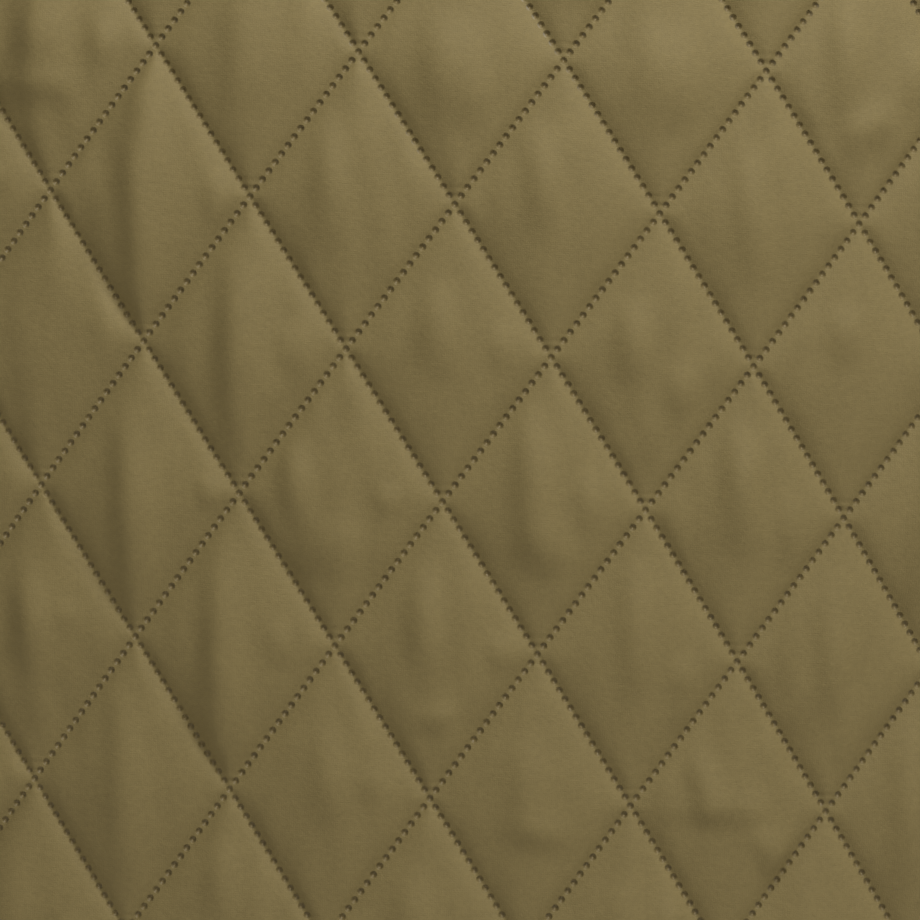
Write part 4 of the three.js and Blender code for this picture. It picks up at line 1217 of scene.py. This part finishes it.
# A plate with rounded edges and a crowned face. Its outline is a superellipse, the cosine and sine of the
# angle made squarer. Rings run from the middle of its underside out, round the edge and back to the middle
# of its face.
def plateShape(width, length, thick, crown, waist, square=0.55, around=40):
    u = np.linspace(0, 2 * pi, around, endpoint=False)
    rim = thick * 0.32
    scale = np.array([0.03, 0.5, 1 - 2 * rim / width, 1 - 0.6 * rim / width, 1, 1, 1 - 0.6 * rim / width,
                      1 - 2 * rim / width, 0.7, 0.35, 0.03])
    height = np.array([0, 0, 0, 0.3 * rim, rim, thick - rim, thick - 0.3 * rim, thick, thick + crown * 0.5,
                       thick + crown * 0.9, thick + crown])
    x, y = squarer(np.cos(u), square) * width / 2, squarer(np.sin(u), square) * length / 2
    x = x * (1 - waist * between(0.2 * length, -0.35 * length, y))
    points = np.stack([scale[:, None] * x, scale[:, None] * y, height[:, None] + 0 * x], axis=-1)
    index = np.arange(points.shape[0] * around).reshape(-1, around)
    return points.reshape(-1, 3), [ringFaces(index[:-1], index[1:]), index[:1, ::-1], index[-1:]]


# A bow over the slider: a strip of rounded section carried along half a superellipse, from base up to top.
def bailShape(base, top, parts=25, around=12):
    u, v = np.linspace(0, pi, parts), np.linspace(0, 2 * pi, around, endpoint=False)
    rise = top - slider["bailBar"] / 2 - base
    path = np.stack([squarer(np.cos(u), 0.55) * slider["bailReach"], base + squarer(np.sin(u), 0.55) * rise],
                    axis=-1)
    along = unit(np.gradient(path, axis=0))
    wide = squarer(np.cos(v), 0.6) / 2 * slider["bailWidth"]
    deep = squarer(np.sin(v), 0.6) / 2 * slider["bailBar"]
    points = np.stack([wide + 0 * path[:, :1], path[:, :1] + along[:, 1:] * deep,
                       path[:, 1:] - along[:, :1] * deep], axis=-1)
    index = np.arange(parts * around).reshape(parts, around)
    return points.reshape(-1, 3), [ringFaces(index[1:], index[:-1]), index[:1], index[-1:, ::-1]]


# A shape set further out.
def raisedBy(height, shape):
    points, faces = shape
    return points + np.array([0, 0, height]), faces


# A rounded block between two corners.
def blockShape(low, high):
    low, high = np.array(low, float), np.array(high, float)
    points, faces = roundedBlock(high - low, 0.28, around=20, rows=11)
    return points + (low + high) / 2, faces


sliderTop = zipper["toothTop"] + slider["play"] + slider["plate"]
sliderBottom = zipper["toothBottom"] - slider["play"] - slider["plate"]
hingeOut = sliderTop + pull["over"] + pull["bar"] / 2


# The slider: two plates with a post between them, guards along their edges and the bow that holds the pull.
def sliderShape():
    plate, crown, post = slider["plate"], slider["crown"], slider["postHalf"]
    size = (slider["width"], slider["length"])
    half, guardX, guardHalf = size[1] / 2, size[0] / 2 - slider["guardIn"], slider["guardHalf"]
    return joined([
        raisedBy(sliderTop - plate, plateShape(*size, plate - crown, crown, slider["waist"])),
        raisedBy(sliderBottom, plateShape(*size, plate, 0, slider["waist"])),
        blockShape((-post, half - slider["postLength"], sliderBottom + 0.4),
                   (post, half - 0.3, sliderTop - 0.4)),
        bailShape(sliderTop - slider["bailFoot"],
                  hingeOut + pull["bar"] / 2 + slider["bailRoom"] + slider["bailBar"]),
        *(blockShape((x - guardHalf, -half + slider["guardIn"], z),
                     (x + guardHalf, 0.6, z + slider["guardHeight"]))
          for x in (-guardX, guardX) for z in (0.2, sliderBottom + plate - 0.75)),
    ])


# A flat plate with holes: a filled curve with rounded edges, made a mesh.
def platePiece(name, loops, thick, edge, material):
    curve = bpy.data.curves.new(name, "CURVE")
    curve.dimensions, curve.fill_mode = "2D", "BOTH"
    curve.extrude, curve.bevel_depth, curve.bevel_resolution, curve.offset = thick / 2 - edge, edge, 2, -edge
    for loop in loops:
        spline = curve.splines.new("POLY")
        spline.points.add(len(loop) - 1)
        corners = np.column_stack([loop, np.zeros(len(loop)), np.ones(len(loop))])
        spline.points.foreach_set("co", corners.ravel())
        spline.use_cyclic_u = True
    holder = bpy.data.objects.new(name + "_curve", curve)
    mesh = bpy.data.meshes.new_from_object(holder)
    bpy.data.objects.remove(holder)
    bpy.data.curves.remove(curve)
    form = bmesh.new()
    form.from_mesh(mesh)
    bmesh.ops.remove_doubles(form, verts=form.verts, dist=1e-4)
    bmesh.ops.recalc_face_normals(form, faces=form.faces)
    form.to_mesh(mesh)
    form.free()
    mesh.name = name
    mesh.materials.clear()
    mesh.materials.append(material)
    return placed(name, mesh)


# A rectangle with a quarter circle at each corner.
def roundedLoop(low, high, corner, parts=6):
    loop = []
    for k, (x, y) in enumerate([(high[0] - corner, high[1] - corner), (low[0] + corner, high[1] - corner),
                                (low[0] + corner, low[1] + corner), (high[0] - corner, low[1] + corner)]):
        u = np.linspace(k * pi / 2, (k + 1) * pi / 2, parts)
        loop.append(np.stack([x + corner * np.cos(u), y + corner * np.sin(u)], axis=-1))
    return np.concatenate(loop)


# The pull: a half circle below, rounded corners above, the window that the bow passes through and an eye.
def pullPiece(seat, axes):
    half, bar, corner = pull["width"] / 2, pull["bar"] / 2, pull["corner"]

    def arc(start, end, parts, radius, x, y, **more):
        u = np.linspace(start, end, parts, **more)
        return np.stack([x + radius * np.cos(u), y + radius * np.sin(u)], axis=-1)

    lower = arc(pi, 2 * pi, 24, half, 0, -pull["length"] + pull["tip"])
    right = arc(0, pi / 2, 6, corner, half - corner, bar - corner)
    outline = np.concatenate([lower, right, right[::-1] * np.array([-1, 1])])
    window = roundedLoop((-pull["windowWidth"] / 2, -bar - pull["windowLength"]),
                         (pull["windowWidth"] / 2, -bar), pull["windowCorner"])
    eye = arc(0, 2 * pi, 24, pull["eye"] / 2, 0, -pull["length"] + pull["eyeUp"], endpoint=False)
    piece = platePiece("vest_pull", [outline, window, eye], pull["thick"], pull["round"], metalFinish)
    points = np.empty(len(piece.data.vertices) * 3)
    piece.data.vertices.foreach_get("co", points)
    points = points.reshape(-1, 3) + np.array([0, 0, hingeOut])
    points = (seat + points @ axes) * mm
    piece.data.vertices.foreach_set("co", points.ravel())
    piece.data.update()
    return piece


# A binding in place of its node, with its topstitching.
def addBinding(name, rowsOf, isLoop, node):
    strip, length = carriedStrip("vest_" + name, rowsOf, binding["step"], bindingFinish, isLoop)
    stitches = joined([stitchRow(rowsOf, binding["stitchIn"], out) for out in binding["stitchOut"]])
    thread = closedPiece("vest_stitches_" + name, stitches, threadFinish)
    outer, inner = bindingSection()
    settle(strip, "vest", "binding_tape", node)
    settle(thread, "vest", "binding_tape")


for side, word in sides:
    addBinding("armhole_" + word, lambda *row, side=side: roundArmhole(side, *row), True,
               "armhole_binding_" + word)
addBinding("hem_binding", roundHem, False, "hem_binding")
addBinding("collar_binding", roundCollar, False, "collar_binding")

chainStart = zipStart + zipper["boxLength"] + 0.8
chainEnd = sliderAt + slider["length"] / 2 - slider["postLength"] - 0.3
stopMiddle = sliderAt + slider["length"] / 2 + 0.4 + zipper["stopLength"] / 2
stopWide, _, stopDeep = zipper["base"]
stop = roundedBlock((stopWide, zipper["stopLength"], stopDeep), 0.4, around=16, rows=9)
for side, word in sides:
    settle(zipTape(side, word), "vest", "zip_tape", "zip_tape_" + word)
    settle(closedPiece("vest_teeth_" + word, toothRow(side, chainStart, chainEnd), metalFinish),
           "vest", "zip_metal", "zip_chain_" + word)
    onZip = setOnZip(stop, stopMiddle, side * zipper["baseAt"], toothMiddle)
    settle(closedPiece("vest_stop_" + word, onZip, metalFinish), "vest", "zip_metal", "zip_stop_" + word)

    def besideZip(distance, out, step, side=side):
        lengths = np.arange(zipStart + 2, zipEnd - 1, step)[:, None]
        return onSide(side, onTape(side, lengths, distance, out))

    row = stitchRow(besideZip, zipper["stitchAt"], cloth["wall"] + 0.1)
    settle(closedPiece("vest_stitches_zip_" + word, row, threadFinish), "vest", "binding_tape")

boxEnd = zipStart + 0.3 + zipper["boxLength"]
body = blockShape((-3, -3.2, zipper["toothBottom"] - 0.4), (3, 3.2, zipper["toothTop"] + 0.4))
pins = [blockShape((middle - 1.175, -2, -1.9), (middle + 1.175, 2, 0.7)) for middle in (1.425, -1.425)]
box = joined([setOnZip(body, boxEnd - 5.8), *(setOnZip(pin, boxEnd - 2) for pin in pins)])
settle(closedPiece("vest_zip_box", box, metalFinish), "vest", "zip_metal", "zip_box")

seat = onTape(1, np.array([sliderAt]), 0.01, 0.0)[0] * inMiddle
_, seatAxes = zipAxes(np.array([sliderAt]))
onSeat = copies(sliderShape(), seat[None], seatAxes)
settle(closedPiece("vest_slider", onSeat, metalFinish), "vest", "zip_metal", "zip_slider")
settle(pullPiece(seat, seatAxes[0]), "pull_tab", "zip_metal", "zip_pull")
print("vest: the bindings and the zip are on")

# stage, light and camera
scene.view_settings.view_transform = "Standard"


studio = {
    "floorDown": 90, "floorSize": 6000, "floor": (226, 224, 220),
    "world": (1, 0.945, 0.78, 1), "worldStrength": 0.26,
    "target": (0, 0.1, -0.33),   # the middle of the back, in metres
    "warm": (1, 0.99, 0.975), "white": (1, 1, 1),
}


# The floor, far enough below the hem to stay out of the close view.
def floorPiece():
    size, z = studio["floorSize"], torso["hemZ"] - studio["floorDown"]
    points = np.array([[-size, -size, z], [size, -size, z], [size, size, z], [-size, size, z]])
    finish = Finish("paleFloor").finish(Base_Color=rgb(*studio["floor"]), Roughness=0.8)
    newPiece("floor", points, [np.array([[0, 1, 2, 3]])], finish)


# A round lamp that shines on the target.
def areaLight(name, place, size, power, colour):
    lamp = bpy.data.lights.new(name, "AREA")
    lamp.shape, lamp.size, lamp.energy, lamp.color = "DISK", size, power, colour
    aim(placed(name, lamp), place, studio["target"])


# Where a lamp stands that shines on the target: its direction as one sees it from behind, anticlockwise
# from the right, how far it stands off the cloth, both in degrees, and its distance in metres.
def lightPlace(around, off, away):
    around, off = math.radians(around), math.radians(off)
    x, y, z = studio["target"]
    return (x - away * math.cos(off) * math.cos(around), y + away * math.sin(off),
            z + away * math.cos(off) * math.sin(around))


# Turn a lamp or a camera to a target.
def aim(thing, place, target, roll=0.0):
    away = Vector(place) - Vector(target)
    turn = away.to_track_quat("Z", "Y").to_matrix().to_4x4() @ Matrix.Rotation(roll, 4, "Z")
    thing.matrix_world = Matrix.Translation(place) @ turn


# the close view: what it is centred on, the width that it takes in and its lens
view = {
    "targetX": -3.9, "targetZ": -327.1, "surfaceY": 112,
    "frame": 225, "lens": 150, "sensor": 36, "roll": 2.4,
}
floorPiece()
world = bpy.data.worlds.new("studio")
world.use_nodes = True
world.node_tree.nodes["Background"].inputs["Color"].default_value = studio["world"]
world.node_tree.nodes["Background"].inputs["Strength"].default_value = studio["worldStrength"]
scene.world = world
areaLight("key", lightPlace(52, 27, 2.8), 0.6, 41, studio["warm"])
areaLight("top", lightPlace(88, 27, 0.9), 0.35, 4.6, studio["warm"])
areaLight("frontKey", (1.3, -2.0, 1.0), 0.9, 60, studio["white"])

lens = bpy.data.cameras.new("camera")
lens.lens, lens.sensor_width = view["lens"], view["sensor"]
lens.clip_start, lens.clip_end = 0.01, 50
camera = placed("camera", lens)
distance = view["lens"] * view["frame"] / view["sensor"]
middle = (view["targetX"] * mm, view["surfaceY"] * mm, view["targetZ"] * mm)
aim(camera, (middle[0], middle[1] + distance * mm, middle[2]), middle, math.radians(view["roll"]))
scene.camera = camera

print("vest: done")
